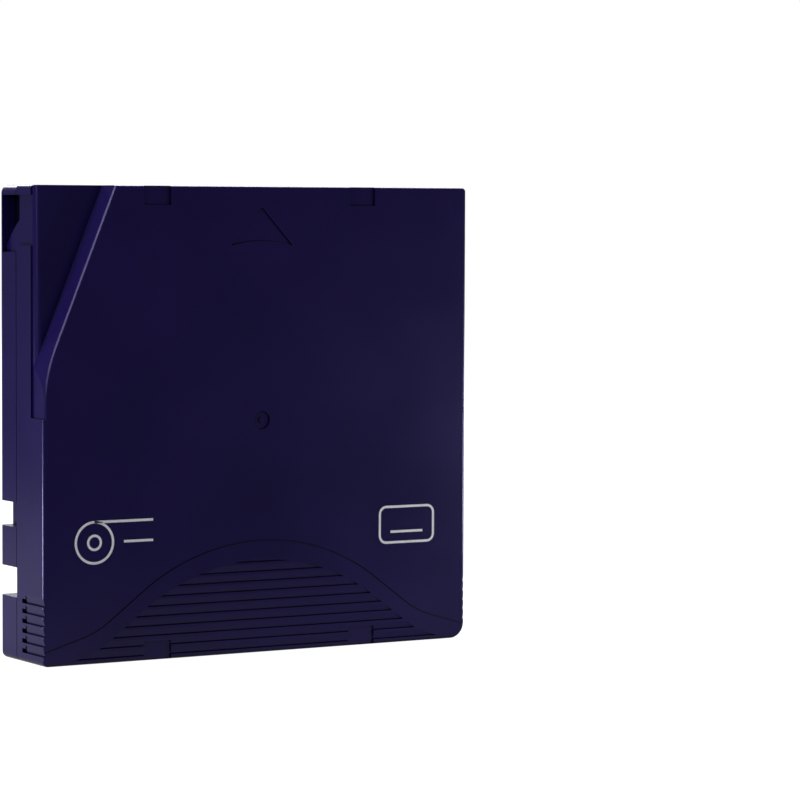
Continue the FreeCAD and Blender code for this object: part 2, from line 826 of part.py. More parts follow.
def make_lower_shell():
    """Bottom face with the reel opening, the gripper notches and the seats of what lies inside."""
    shell = new_body("lower_shell")
    groove_low = s.seam_height - s.seam_groove
    blank = add_up(shell, 0, groove_low, case_plan(s.lower_front_corner))
    round_edges(shell, blank, s.bottom_edge_round, at_height(0))
    add_up(shell, groove_low - s.slip_gap, s.seam_height,
           case_plan(s.lower_front_corner, s.seam_groove))
    cut_up(shell, s.bottom_wall, s.seam_height, case_plan(s.lower_front_corner, s.side_wall))
    tongue_inset = s.side_wall - s.joint_tongue_wall
    add_up(shell, s.seam_height - s.slip_gap, s.seam_height + s.joint_tongue_height,
           case_plan(s.upper_front_corner, tongue_inset),
           case_plan(s.lower_front_corner, s.side_wall))

    # Door channel and tape window
    tongue_top = s.seam_height + s.joint_tongue_height
    cut_up(shell, s.bottom_wall + s.slip_gap, s.seam_height,
           box(CHANNEL_LEFT, s.channel_rear, INNER_LEFT + s.inner_corner, INNER_FRONT))
    cut_up(shell, s.seam_height, tongue_top + s.slip_gap,
           box(CHANNEL_LEFT - s.slip_gap, s.channel_rear, INNER_LEFT + s.inner_corner,
               INNER_FRONT))
    cut_up(shell, s.window_low, s.seam_height,
           box(LEFT - MARGIN, s.window_lower_rear, CHANNEL_LEFT + s.slip_gap, WINDOW_FRONT))

    # Gripper notches: a closed block is added inside first, then cut from outside and below
    blocks = []
    cuts = []
    for place, length, depth in NOTCHES:
        wall = s.notch_wall
        blocks.append(box(INNER_LEFT - s.slip_gap, place - wall, LEFT + depth + wall, place + length + wall))
        cuts.append(box(LEFT - MARGIN, place, LEFT + depth, place + length))
    add_up(shell, s.bottom_wall / 2, s.seam_height + s.notch_wall,
           *blocks, *[mirrored(block) for block in blocks])
    cut_up(shell, 0 - MARGIN, s.seam_height, *cuts, *[mirrored(cut) for cut in cuts])

    # Bosses for screws and positioning holes
    add_up(shell, s.bottom_wall / 2, s.seam_height - s.seat_gap,
           *[block(x, y, s.screw_head / 2 + s.boss_wall / 2) for x, y in screw_places()])
    cut_up(shell, s.screw_seat, s.seam_height,
           *[hexagon(x, y, PILOT_RADIUS + s.slip_gap) for x, y in screw_places()])
    cut_up(shell, 0 - MARGIN, s.screw_seat,
           *[Disc(x, y, s.screw_head / 2 + 2 * s.slip_gap) for x, y in screw_places()])
    hole = s.positioning_hole / 2
    wall = s.positioning_wall
    slot = s.positioning_slot / 2
    left_x = -POSITIONING_X
    y = s.positioning_place
    add_up(shell, s.bottom_wall / 2, s.positioning_depth + wall,
           Disc(POSITIONING_X, y, hole + wall),
           box(left_x - slot - hole, y - hole - wall, left_x + slot + hole, y + hole + wall))
    cut_up(shell, 0 - MARGIN, s.positioning_depth,
           Disc(POSITIONING_X, y, hole),
           [(left_x - slot, y - hole), (left_x + slot, y - hole),
            (left_x + slot + hole, y, hole), (left_x + slot, y + hole, hole),
            (left_x - slot, y + hole),
            (left_x - slot - hole, y, hole), (left_x - slot, y - hole, hole)][1:])

    # Reel opening with the rim that the reel rests on, and the reel guides
    centre = s.reel_centre
    rim_top = s.tape_low - s.tape_side_gap - s.flange_thickness - s.slip_gap
    cut_up(shell, 0 - MARGIN, s.seam_height, Disc(0, centre, s.hub_opening))
    add_up(shell, s.bottom_wall - s.slip_gap, rim_top,
           Disc(0, centre, s.hub_opening), Disc(0, centre, s.hub_opening + s.hub_rim_width))
    add_up(shell, s.bottom_wall / 2, s.seam_height - s.slip_gap, *reel_guides())

    # Seat of the door spring, with the pin that the spring sits on
    spring_x = LEFT + s.door_spring_axis
    half = s.door_arm_width / 2
    post_front = s.spring_seat_place
    add_up(shell, s.bottom_wall / 2, s.door_spring_height + half,
           box(spring_x - half / 2, post_front - s.spring_seat_wall, spring_x + s.door_spring_pin,
               post_front))
    add_along(shell, post_front - s.slip_gap, post_front + s.door_spring_pin_length,
              Disc(spring_x, s.door_spring_height, s.door_spring_pin / 2))

    # Rail behind the door's dish
    dish_x = LEFT + s.dish_floor_depth + s.dish_wall + s.slip_gap
    add_up(shell, s.bottom_wall / 2, s.positioning_depth,
           box(dish_x, s.door_arm_end + s.door_foot, dish_x + s.guide_rib, s.window_lower_rear))

    # Seat of the leader pin's lower disc and of the retaining wire
    outer = s.pin_disc / 2 + s.pin_pocket_gap
    seat_right = PIN_X + s.retainer_reach + s.guide_rib
    add_up(shell, s.bottom_wall / 2, s.tape_low - s.seat_gap,
           box(dish_x, s.pin_place - outer - s.guide_rib, seat_right,
               s.pin_place + outer + s.guide_rib))
    seat_floor = pin_low() - s.pin_end_gap
    cut_up(shell, seat_floor, s.tape_low, box(dish_x - s.slip_gap, s.pin_place - outer, PIN_X,
                                              s.pin_place + outer))
    cut_up(shell, seat_floor, s.tape_low, Disc(PIN_X, s.pin_place, outer))
    cut_up(shell, seat_floor, s.tape_low, retainer_slot())

    # Write-protect window and the rail behind its slide
    window_left = LEFT + s.protect_window_place
    window_high = s.protect_window_low + s.protect_window_height
    cut_along(shell, 0, s.side_wall + s.slip_gap,
              box(window_left, s.protect_window_low, window_left + s.protect_window_width, window_high))
    rail_rear = s.side_wall + s.slip_gap + s.protect_plate_thickness + s.slip_gap
    add_up(shell, s.bottom_wall / 2, window_high,
           box(protect_plate_left(), rail_rear,
               protect_plate_left() + protect_plate_width() + protect_travel(),
               rail_rear + s.guide_rib))
    cut_along(shell, 0, s.label_depth, label_outline())

    # Sloping ribs that hold the memory board across the rear right corner
    slope = memory_slope() - s.seat_gap
    low = s.bottom_wall / 2
    rib = [(s.side_wall - s.slip_gap, low), (slope - low, low),
           (s.side_wall - s.slip_gap, slope - s.side_wall + s.slip_gap)]
    rib_left = s.memory_left + s.memory_rib_inset
    rib_right = s.memory_left + s.memory_width - s.memory_rib_inset - s.memory_rib
    add_across(shell, rib_left, rib_left + s.memory_rib, rib)
    add_across(shell, rib_right, rib_right + s.memory_rib, rib)
    return shell


# Case screws

def make_case_screws():
    """Four self-tapping screws with a crossed recess, driven from the bottom face."""
    screws = []
    for number, (x, y) in enumerate(screw_places(), start=1):
        screw = new_body(f"case_screw_{number}", x, y, s.screw_seat - s.screw_head_height)
        shank = s.screw_shank / 2
        head = s.screw_head_height - s.seat_gap
        tip = head + s.screw_length
        turn_up(screw, [
            (0, 0), (s.screw_head / 2, 0), (s.screw_head / 2, head), (shank, head),
            (shank, tip - s.screw_tip), (0, tip),
        ])
        arm, slot = s.screw_recess_width / 2, s.screw_recess_slot / 2
        cut_up(screw, 0, s.screw_recess_depth, box(-arm, -slot, arm, slot))
        cut_up(screw, 0, s.screw_recess_depth, box(-slot, -arm, slot, arm))
        screws.append(screw)
    group = doc.addObject("Part::Compound", "case_screws")
    group.Label = "case_screws"
    group.Links = screws
    return group


# Door and its spring

def make_access_door():
    """The sliding door, with the dished pocket that the drive's opener pushes on and the arm
    that carries the spring's thrust."""
    door = new_body("access_door")
    outer = CHANNEL_LEFT + s.slip_gap
    inner = outer + s.door_thickness
    front = INNER_FRONT - s.door_front_gap
    high = GUIDE_CEILING - s.door_top_gap
    arm_low = s.door_spring_height - s.door_arm_width / 2
    arm_high = s.door_spring_height + s.door_arm_width / 2
    add_across(door, outer, inner, [
        (s.door_rear, s.door_low), (front, s.door_low), (front, high), (s.door_rear, high),
        (s.door_rear, arm_high), (s.door_arm_end, arm_high), (s.door_arm_end, arm_low),
        (s.door_rear, arm_low),
    ])
    wall = s.dish_wall
    floor_x = LEFT + s.dish_floor_depth
    add_across(door, inner - s.slip_gap, floor_x + wall, [
        (s.dish_low_place - 2 * wall, s.door_low),
        (front, s.door_low),
        (front, s.dish_high + wall),
        (s.dish_high_place - 2 * wall, s.dish_high + wall),
    ])
    cut_across(door, outer - s.slip_gap, floor_x, [
        (WINDOW_FRONT, s.door_low - s.slip_gap),
        (WINDOW_FRONT, s.dish_high),
        (s.dish_high_place, s.dish_high),
        (s.dish_low_place, s.door_low, -s.dish_bend),
        (s.dish_low_place, s.door_low - s.slip_gap),
    ])
    add_across(door, inner - s.slip_gap, LEFT + s.door_spring_axis + s.door_spring_pin,
               box(s.door_arm_end, arm_low, s.door_arm_end + s.door_foot, arm_high))
    return door


def make_coil(label, coil, wire, low, high, turns, lengths, across=0, along=0, up=0):
    """A compression spring along its own upright axis, between two heights. A swept coil has
    too many facets, so its wire is a hexagon carried round in straight lengths."""
    count = round(plain(turns) * lengths)
    rise = plain(high - low - wire)
    rings = []
    for step in range(count + 1):
        angle = 2 * math.pi * plain(turns) * step / count
        level = plain(low + wire / 2) + rise * step / count
        rings.append([
            Vector(plain(out) * math.cos(angle), plain(out) * math.sin(angle), level + plain(lift))
            for out, lift in hexagon(coil / 2, 0, wire / 2)
        ])
    corners = []
    for near, far in zip(rings, rings[1:]):
        for side in range(6):
            after = (side + 1) % 6
            corners.append([near[side], near[after], far[after]])
            corners.append([near[side], far[after], far[side]])
    corners += [rings[0], rings[-1]]
    faces = [Part.Face(Part.makePolygon([*ends, ends[0]])) for ends in corners]
    skin = Part.makeShell(faces)
    skin.sewShape()
    spring = doc.addObject("Part::Feature", label)
    spring.Label = label
    spring.Shape = Part.makeSolid(skin)
    spring.Placement = Placement(Vector(), LYING_TO_STANDING)
    bind(spring, "Placement.Base.x", across)
    bind(spring, "Placement.Base.y", s.case_thickness / 2 - up)
    bind(spring, "Placement.Base.z", along)
    return spring


def make_door_spring():
    """Holds the door shut: it lies along the left wall between its seat and the door's foot."""
    gap = s.seat_gap
    spring = make_coil("door_spring", s.door_spring_coil, s.door_spring_wire, gap,
                       s.door_arm_end - s.spring_seat_place - gap, s.door_spring_turns, 10,
                       across=LEFT + s.door_spring_axis, along=s.spring_seat_place,
                       up=s.door_spring_height)
    spring.Placement = Placement(spring.Placement.Base, Rotation())
    return spring


# Leader pin and the tape's free end

def pin_low():
    return s.tape_low - s.tape_side_gap - s.pin_disc_thickness


def pin_high():
    return TAPE_HIGH + s.tape_side_gap + s.pin_disc_thickness


def make_leader_pin():
    """A turned steel pin: the drive hooks its necks, just inside its end discs."""
    pin = new_body("leader_pin", PIN_X, s.pin_place)
    core, disc, neck = s.pin_core / 2, s.pin_disc / 2, s.pin_neck / 2
    low, high = pin_low(), pin_high()
    low_disc, high_disc = low + s.pin_disc_thickness, high - s.pin_disc_thickness
    turn_up(pin, [
        (0, low), (disc, low), (disc, low_disc), (neck, low_disc),
        (neck, low_disc + s.pin_neck_length), (core, low_disc + s.pin_neck_length),
        (core, high_disc - s.pin_neck_length), (neck, high_disc - s.pin_neck_length),
        (neck, high_disc), (disc, high_disc), (disc, high), (0, high),
    ])
    return pin


def make_leader_pin_clip():
    """A sprung plastic sleeve, open along one side, that clamps the tape round the pin."""
    clip = new_body("leader_pin_clip", PIN_X, s.pin_place)
    low = s.tape_low + s.pin_neck_length
    high = TAPE_HIGH - s.pin_neck_length
    bore = s.pin_core / 2 + s.leader_thickness + s.seat_gap
    add_up(clip, low, high, Disc(0, 0, s.clip_outer / 2), Disc(0, 0, bore))
    cut_up(clip, low, high, box(0, s.clip_mouth / 4, s.clip_outer, s.clip_outer))
    return clip


def retainer_place():
    """How far forward the retaining wire's arms run beside the leader pin."""
    return s.pin_place - s.pin_disc / 2 - s.retainer_wire / 2 - s.slip_gap


def retainer_slot():
    """The slot in either shell that one arm of the retaining wire lies in."""
    middle = retainer_place()
    return box(PIN_X, middle - s.retainer_wire, PIN_X + s.retainer_reach + s.retainer_wire,
               middle + s.retainer_wire)


def make_pin_retaining_wire():
    """One bent wire: an upright back and two arms that hug the pin's end discs."""
    wire = s.retainer_wire
    low = pin_low() + s.pin_disc_thickness / 2
    high = pin_high() - s.pin_disc_thickness / 2
    spring = new_body("pin_retaining_wire", PIN_X, s.pin_place)
    ring = s.pin_disc / 2 + wire / 2 + s.slip_gap
    bend = wire
    back = s.retainer_reach
    leg = root(ring * ring - (ring / 2) * (ring / 2))
    path = spring.newObject("Sketcher::SketchObject", "retainer_back")
    path.AttachmentSupport = [(origin_of(spring, "XZ_Plane"), "")]
    path.MapMode = "FlatFace"
    bind(path, "AttachmentOffset.Base.z", ring)
    draw_path(path, [(0, low), (back - bend, low), (back, low + bend, bend),
                     (back, high - bend), (back - bend, high, bend), (0, high)])
    profile = new_sketch(spring, "YZ_Plane", 0.0, [hexagon(-ring, low, wire / 2)])
    pipe = spring.newObject("PartDesign::AdditivePipe", "retainer_frame")
    pipe.Profile = profile
    pipe.Spine = (path, [])
    for number, level in enumerate((low, high)):
        hook_path = spring.newObject("Sketcher::SketchObject", f"retainer_hook_path_{number}")
        hook_path.AttachmentSupport = [(origin_of(spring, "XY_Plane"), "")]
        hook_path.MapMode = "FlatFace"
        bind(hook_path, "AttachmentOffset.Base.z", level)
        draw_path(hook_path, [(0, -ring), (-leg, -ring / 2, -ring)])
        hook_profile = new_sketch(spring, "YZ_Plane", 0.0, [hexagon(-ring, level, wire / 2)])
        hook = spring.newObject("PartDesign::AdditivePipe", f"retainer_hook_{number}")
        hook.Profile = hook_profile
        hook.Spine = (hook_path, [])
    return spring


def draw_path(sketch, points):
    """Draws an open line through the points, with arcs as in draw_outline."""
    first = sketch.GeometryCount
    ends = []
    for before, point in zip(points, points[1:]):
        start = Vector(plain(before[0]), plain(before[1]), 0)
        end = Vector(plain(point[0]), plain(point[1]), 0)
        if len(point) == 2:
            sketch.addGeometry(Part.LineSegment(start, end), False)
        else:
            sketch.addGeometry(arc_between(start, end, plain(point[2])), False)
        ends.append((2, 1) if len(point) == 3 and plain(point[2]) < 0 else (1, 2))
    if len(ends) > 1:
        sketch.addConstraint([
            Sketcher.Constraint("Coincident", first + number, ends[number][1],
                                first + number + 1, ends[number + 1][0])
            for number in range(len(ends) - 1)
        ])
    tie(sketch, "DistanceX", (-1, 1, first, ends[0][0]), points[0][0])
    tie(sketch, "DistanceY", (-1, 1, first, ends[0][0]), points[0][1])
    for number, point in enumerate(points[1:]):
        item, end = first + number, ends[number][1]
        tie(sketch, "DistanceX", (-1, 1, item, end), point[0])
        tie(sketch, "DistanceY", (-1, 1, item, end), point[1])
        if len(point) == 3:
            radius = point[2] if plain(point[2]) > 0 else -point[2]
            tie(sketch, "Radius", (item,), radius)


def make_tape_leader():
    """The tape's free end: tangent to the pack's front, then wrapped round the leader pin."""
    leader = new_body("tape_leader", 0, s.reel_centre)
    pin_x, pin_y = PIN_X, s.pin_place - s.reel_centre
    inner_pack = s.pack_radius + s.leader_gap
    inner_pin = s.pin_core / 2 + s.seat_gap / 2
    thick = s.leader_thickness
    span_square = pin_x * pin_x + pin_y * pin_y
    lead = (inner_pack - inner_pin) / span_square
    aside = root(1 / span_square - lead * lead)
    normal_x = lead * pin_x + aside * pin_y
    normal_y = lead * pin_y - aside * pin_x
    turn = math.radians(12)
    start_x = normal_x * math.cos(turn) + normal_y * math.sin(turn)
    start_y = normal_y * math.cos(turn) - normal_x * math.sin(turn)

    def on_pack(radius):
        return [(radius * start_x, radius * start_y), (radius * normal_x, radius * normal_y)]

    def on_pin(radius):
        """Tangent point, then the points a quarter and half way round the pin."""
        return [
            (pin_x + radius * normal_x, pin_y + radius * normal_y),
            (pin_x - radius * normal_y, pin_y + radius * normal_x),
            (pin_x - radius * normal_x, pin_y - radius * normal_y),
        ]

    outer_pack, outer_pin = inner_pack + thick, inner_pin + thick
    far_start, far_tangent = on_pack(outer_pack)
    near_start, near_tangent = on_pack(inner_pack)
    far_wrap, near_wrap = on_pin(outer_pin), on_pin(inner_pin)
    add_up(leader, s.tape_low, TAPE_HIGH, [
        far_start,
        (*far_tangent, outer_pack),
        far_wrap[0],
        (*far_wrap[1], outer_pin),
        (*far_wrap[2], outer_pin),
        near_wrap[2],
        (*near_wrap[1], -inner_pin),
        (*near_wrap[0], -inner_pin),
        near_tangent,
        (*near_start, -inner_pack),
    ])
    return leader


# Reel

def add_tooth(body, root_height, tip_height, inner, outer, width):
    """One radial ridge with a V section, in the upright plane through y = 0."""
    return add_across(body, inner, outer, [
        (-width / 2, root_height), (width / 2, root_height), (0, tip_height),
    ] if plain(tip_height) > plain(root_height) else [
        (width / 2, root_height), (-width / 2, root_height), (0, tip_height),
    ])


def make_reel_hub():
    """Hub, lower flange and drive ring in one moulding. Its web carries teeth on both sides:
    the drive's below, and the brake's above."""
    hub = new_body("reel_hub", 0, s.reel_centre, turn=180 / SIZES["tooth_count"])
    flange_high = s.tape_low - s.tape_side_gap
    flange_low = flange_high - s.flange_thickness
    hub_high = TAPE_HIGH + s.tape_side_gap
    boss = s.washer_inner - 2 * s.slip_gap
    boss_low = s.web_low - s.washer_thickness
    turn_up(hub, [
        (0, boss_low), (boss, boss_low), (boss, s.web_low), (s.drive_ring_inner, s.web_low),
        (s.drive_ring_inner, s.drive_tooth_root), (s.drive_ring_outer, s.drive_tooth_root),
        (s.drive_ring_outer, flange_low), (s.flange_radius, flange_low),
        (s.flange_radius, flange_high), (s.hub_radius, flange_high), (s.hub_radius, hub_high),
        (s.hub_bore, hub_high), (s.hub_bore, WEB_HIGH), (0, WEB_HIGH),
    ])
    drive_tooth = add_tooth(hub, s.drive_tooth_root, s.drive_tooth_root - s.drive_tooth_height,
                            s.drive_ring_inner, s.drive_ring_outer, s.drive_tooth_width)
    brake_tooth = add_tooth(hub, WEB_HIGH, WEB_HIGH + s.brake_tooth_height,
                            s.brake_tooth_inner, s.brake_tooth_outer, s.brake_tooth_width)
    repeat_round(hub, [drive_tooth, brake_tooth], s.tooth_count)

    # Sunk seat of the release pad: a round middle and three arms with a hole for each leg
    seat = WEB_HIGH - s.pad_sink
    clear = WEB_HIGH + s.brake_tooth_height
    cut_up(hub, seat, clear, Disc(0, 0, s.pad_disc + s.pad_gap))
    half = s.pad_arm_width / 2 + s.pad_gap
    arm = cut_up(hub, seat, clear, box(0, -half, s.leg_circle, half))
    arm_end = cut_up(hub, seat, clear, Disc(s.leg_circle, 0, half))
    leg_hole = cut_up(hub, 0, seat, Disc(s.leg_circle, 0, s.leg_radius + s.pad_gap))
    repeat_round(hub, [arm, arm_end, leg_hole], 3)
    return hub


def make_reel_top_flange():
    """The upper flange, welded on the hub by a spigot that enters its bore."""
    flange = new_body("reel_top_flange", 0, s.reel_centre)
    low = TAPE_HIGH + s.tape_side_gap
    spigot = s.hub_bore - s.slip_gap
    turn_up(flange, [
        (s.flange_eye, low - s.flange_spigot), (spigot, low - s.flange_spigot), (spigot, low),
        (s.flange_radius, low), (s.flange_radius, low + s.flange_thickness),
        (s.flange_eye, low + s.flange_thickness),
    ])
    return flange


def make_drive_washer():
    """The steel washer that the drive's magnet pulls on."""
    washer = new_body("drive_washer", 0, s.reel_centre)
    high = s.web_low - s.seat_gap
    add_up(washer, high - s.washer_thickness, high,
           Disc(0, 0, s.washer_inner), Disc(0, 0, s.washer_outer))
    return washer


def make_tape_pack():
    """All the wound turns as one solid."""
    pack = new_body("tape_pack", 0, s.reel_centre)
    add_up(pack, s.tape_low, TAPE_HIGH,
           Disc(0, 0, s.hub_radius + s.seat_gap), Disc(0, 0, s.pack_radius))
    return pack


# Brake

def brake_low():
    """Height of the brake plate's underside, where its teeth begin."""
    return WEB_HIGH + s.brake_tooth_height + s.slip_gap


def make_brake_button():
    """Locks the hub: it cannot turn on the case's crossed post, and its teeth enter the hub's."""
    brake = new_body("brake_button", 0, s.reel_centre)
    low = brake_low()
    plate_high = low + s.brake_plate
    nose_low = low - s.brake_nose_length
    socket_high = plate_high + s.brake_socket_length
    turn_up(brake, [
        (0, nose_low), (s.brake_nose, nose_low), (s.brake_nose, low), (s.brake_radius, low),
        (s.brake_radius, plate_high), (s.brake_socket, plate_high),
        (s.brake_socket, socket_high), (0, socket_high),
    ])
    tooth = add_tooth(brake, low, low - s.brake_tooth_height,
                      s.brake_tooth_inner, s.brake_tooth_outer, s.brake_tooth_width)
    repeat_round(brake, [tooth], s.tooth_count)
    half = s.post_width / 2 + s.post_gap
    thin = s.post_thickness / 2 + s.post_gap
    cut_up(brake, low + s.brake_floor, socket_high, box(-half, -thin, half, thin))
    cut_up(brake, low + s.brake_floor, socket_high, box(-thin, -half, thin, half))
    return brake


def make_brake_release_pad():
    """A three-legged pad: the drive pushes its legs, and its dome lifts the brake."""
    pad = new_body("brake_release_pad", 0, s.reel_centre, turn=180 / SIZES["tooth_count"])
    low = WEB_HIGH - s.pad_sink + s.seat_gap
    high = low + s.pad_thickness
    dome_high = brake_low() - s.brake_nose_length - s.seat_gap
    turn_up(pad, [
        (0, low), (s.pad_disc, low), (s.pad_disc, high), (s.pad_dome_base, high),
        (s.pad_dome_top, dome_high), (0, dome_high),
    ])
    half = s.pad_arm_width / 2
    arm = add_up(pad, low, high, box(0, -half, s.leg_circle, half))
    arm_end = add_up(pad, low, high, Disc(s.leg_circle, 0, half))
    leg = add_up(pad, s.leg_tip, high, Disc(s.leg_circle, 0, s.leg_radius))
    repeat_round(pad, [arm, arm_end, leg], 3)
    return pad


def make_brake_spring():
    """Presses the brake into the hub, from the top shell's inner face."""
    low = brake_low() + s.brake_plate + s.seat_gap
    return make_coil("brake_spring", s.brake_spring_coil, s.brake_spring_wire, low,
                     INNER_TOP - s.seat_gap, s.brake_spring_turns, 16, along=s.reel_centre)


# Write-protect switch

def protect_travel():
    return s.protect_window_width - s.protect_tab_width - 2 * s.protect_tab_gap


def protect_plate_left():
    return LEFT + s.protect_window_place - s.protect_plate_lap - protect_travel()


def protect_plate_width():
    return s.protect_window_width + 2 * s.protect_plate_lap + protect_travel()


def make_write_protect_switch():
    """A slide behind the rear wall, with a ridged tab that shows in the window."""
    switch = new_body("write_protect_switch")
    rear = s.side_wall + s.slip_gap
    middle = s.protect_window_low + s.protect_window_height / 2
    plate_low = s.bottom_wall + 2 * s.slip_gap
    add_along(switch, rear, rear + s.protect_plate_thickness,
              box(protect_plate_left(), plate_low, protect_plate_left() + protect_plate_width(),
                  plate_low + s.protect_plate_height))
    tab_left = LEFT + s.protect_window_place + s.protect_tab_gap
    tab_half = s.protect_window_height / 2 - s.slip_gap
    add_along(switch, s.protect_tab_sink, rear + s.slip_gap,
              box(tab_left, middle - tab_half, tab_left + s.protect_tab_width, middle + tab_half))
    ridge_left = tab_left + (s.protect_tab_width - s.protect_ridge_width) / 2
    add_along(switch, s.protect_tab_sink - s.protect_ridge_rise, s.protect_tab_sink + s.slip_gap,
              box(ridge_left, middle - tab_half, ridge_left + s.protect_ridge_width,
                  middle + tab_half))
    return switch


# Cartridge memory

def memory_slope():
    """The board's underside is the line y + z = this value."""
    return s.side_wall + s.memory_low + s.bottom_wall + s.memory_low + s.memory_run


def make_memory_board():
    """A small circuit board that lies at 45 degrees across the rear right corner."""
    board = new_body("memory_board")
    rear, low = s.side_wall + s.memory_low, s.bottom_wall + s.memory_low
    rise = s.memory_thickness * DIAGONAL
    add_across(board, s.memory_left, s.memory_left + s.memory_width, [
        (rear, low + s.memory_run), (rear + s.memory_run, low),
        (rear + s.memory_run + rise, low + rise), (rear + rise, low + s.memory_run + rise),
    ])
    return board


def make_memory_chip():
    """The sealed chip on the middle of the board."""
    chip = new_body("memory_chip")
    rise = s.memory_thickness * DIAGONAL + s.seat_gap / 2
    height = s.memory_chip_height * DIAGONAL
    rear = s.side_wall + s.memory_low + (s.memory_run - s.memory_chip_run) / 2 + rise
    low = s.bottom_wall + s.memory_low + (s.memory_run - s.memory_chip_run) / 2 + rise
    left = s.memory_left + (s.memory_width - s.memory_chip_width) / 2
    add_across(chip, left, left + s.memory_chip_width, [
        (rear, low + s.memory_chip_run), (rear + s.memory_chip_run, low),
        (rear + s.memory_chip_run + height, low + height),
        (rear + height, low + s.memory_chip_run + height),
    ])
    return chip


# Building, checking and writing

subparts = [
    make_upper_shell(),
    make_lower_shell(),
    make_case_screws(),
    make_access_door(),
    make_door_spring(),
    make_leader_pin(),
    make_leader_pin_clip(),
    make_pin_retaining_wire(),
    make_tape_leader(),
    make_tape_pack(),
    make_reel_hub(),
    make_reel_top_flange(),
    make_drive_washer(),
    make_brake_button(),
    make_brake_release_pad(),
    make_brake_spring(),
    make_write_protect_switch(),
    make_memory_board(),
    make_memory_chip(),
]
doc.recompute()

for thing in doc.Objects:
    faults = {"Invalid", "Error"} & set(thing.State)
    if faults:
        raise RuntimeError(f"{thing.Name} failed: {thing.State}")
    if thing.TypeId == "PartDesign::Pocket":
        removed = thing.BaseFeature.Shape.Volume - thing.Shape.Volume
        if removed < 0.001:
            raise RuntimeError(f"{thing.Name} cuts nothing")

os.makedirs("parts", exist_ok=True)
for subpart in subparts:
    shape = subpart.Shape
    if shape.isNull() or not shape.isValid():
        raise RuntimeError(f"{subpart.Label} has no valid shape")
    shape.exportStep(f"parts/{subpart.Label}.step")
    print(subpart.Label, len(shape.Solids), round(shape.Volume, 1))
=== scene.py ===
"""Looks of a data tape cartridge that stands on its rear edge, its top face towards -Y.

Every moulding, spring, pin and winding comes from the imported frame. This script gives each its
finish in the order of assembly, adds the ink marks on the top face, and sets floor, lamps and
camera.
"""

import math

import bpy
from mathutils import Matrix, Vector


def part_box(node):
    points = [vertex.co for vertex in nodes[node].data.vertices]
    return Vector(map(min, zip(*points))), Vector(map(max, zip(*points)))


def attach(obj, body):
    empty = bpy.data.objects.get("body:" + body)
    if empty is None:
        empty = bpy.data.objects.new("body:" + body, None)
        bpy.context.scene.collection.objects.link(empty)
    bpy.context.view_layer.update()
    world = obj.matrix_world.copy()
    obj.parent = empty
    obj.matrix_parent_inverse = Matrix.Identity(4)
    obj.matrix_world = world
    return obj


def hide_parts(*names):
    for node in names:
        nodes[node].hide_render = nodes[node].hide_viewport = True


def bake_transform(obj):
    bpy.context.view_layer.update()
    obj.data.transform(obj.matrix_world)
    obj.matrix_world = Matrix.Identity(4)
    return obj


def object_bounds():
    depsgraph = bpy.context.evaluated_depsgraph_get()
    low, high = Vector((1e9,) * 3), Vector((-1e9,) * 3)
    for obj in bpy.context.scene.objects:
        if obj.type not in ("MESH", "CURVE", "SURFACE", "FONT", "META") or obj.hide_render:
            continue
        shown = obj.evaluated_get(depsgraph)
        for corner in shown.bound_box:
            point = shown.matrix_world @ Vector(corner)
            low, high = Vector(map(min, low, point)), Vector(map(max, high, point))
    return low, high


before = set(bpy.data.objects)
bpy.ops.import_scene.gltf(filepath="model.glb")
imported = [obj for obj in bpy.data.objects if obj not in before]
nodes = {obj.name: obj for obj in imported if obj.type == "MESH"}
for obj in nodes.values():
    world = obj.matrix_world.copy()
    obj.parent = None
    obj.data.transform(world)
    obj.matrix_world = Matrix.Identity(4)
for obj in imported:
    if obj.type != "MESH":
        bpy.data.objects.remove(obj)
cad_low, cad_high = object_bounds()
scene = bpy.context.scene


# ---------------------------------------------------------------- the two shells of the case
# The case is two injection mouldings in violet polycarbonate, screwed together. Their outsides
# copy a spark-eroded mould, a fine satin grain that spreads a lamp into a soft sheen.

MM = 0.001
VIOLET = "#180D4B"
VIOLET_DEEP = "#140A41"
VIOLET_PAINTED_GROOVE_SHADE = "#040219"            # painted shade: the near black that grooves and corners are darkened to
SHEEN = (0.60, 0.55, 1.0, 1.0)       # the pigment under the skin tints the soft part of the shine
SATIN = (0.21, 0.26)                 # lowest and highest roughness of the grained skin
SPARK_GRAIN = 0.35 * MM              # real grain is near 0.05 mm: drawn coarser so that it shows
SPARK_DEPTH = 0.03 * MM
FLOW_PATCH = 26 * MM                 # cloudy change of tone left by the melt's flow
GROOVE_REACH = 1.2 * MM              # how near two walls stand when they shade each other
GROOVE_SHUT, GROOVE_OPEN = 0.35, 0.95    # share of open sky at full painted shade and at the plain violet

DARK_END, PALE_END = 0.3, 0.7        # a pattern's value at its dark and at its pale tone
FACTOR, FIRST, SECOND, MIXED = 0, 6, 7, 2    # a colour mix's sockets, of which some share a name


def srgb(code):
    """Turns an sRGB hex colour to the linear RGBA that the shader works in."""
    values = [int(code[i:i + 2], 16) / 255 for i in (1, 3, 5)]
    linear = [v / 12.92 if v <= 0.04045 else ((v + 0.055) / 1.055) ** 2.4 for v in values]
    return (*linear, 1.0)


def add_node(tree, kind, inputs=None, outputs=None, **settings):
    """Adds one node with its settings, gives each input a value or a link, and links outputs on."""
    node = tree.nodes.new(kind)
    for name, value in settings.items():
        setattr(node, name, value)
    for name, value in (inputs or {}).items():
        if isinstance(value, bpy.types.NodeSocket):
            tree.links.new(value, node.inputs[name])
        else:
            node.inputs[name].default_value = value
    for name, socket in (outputs or {}).items():
        tree.links.new(node.outputs[name], socket)
    return node


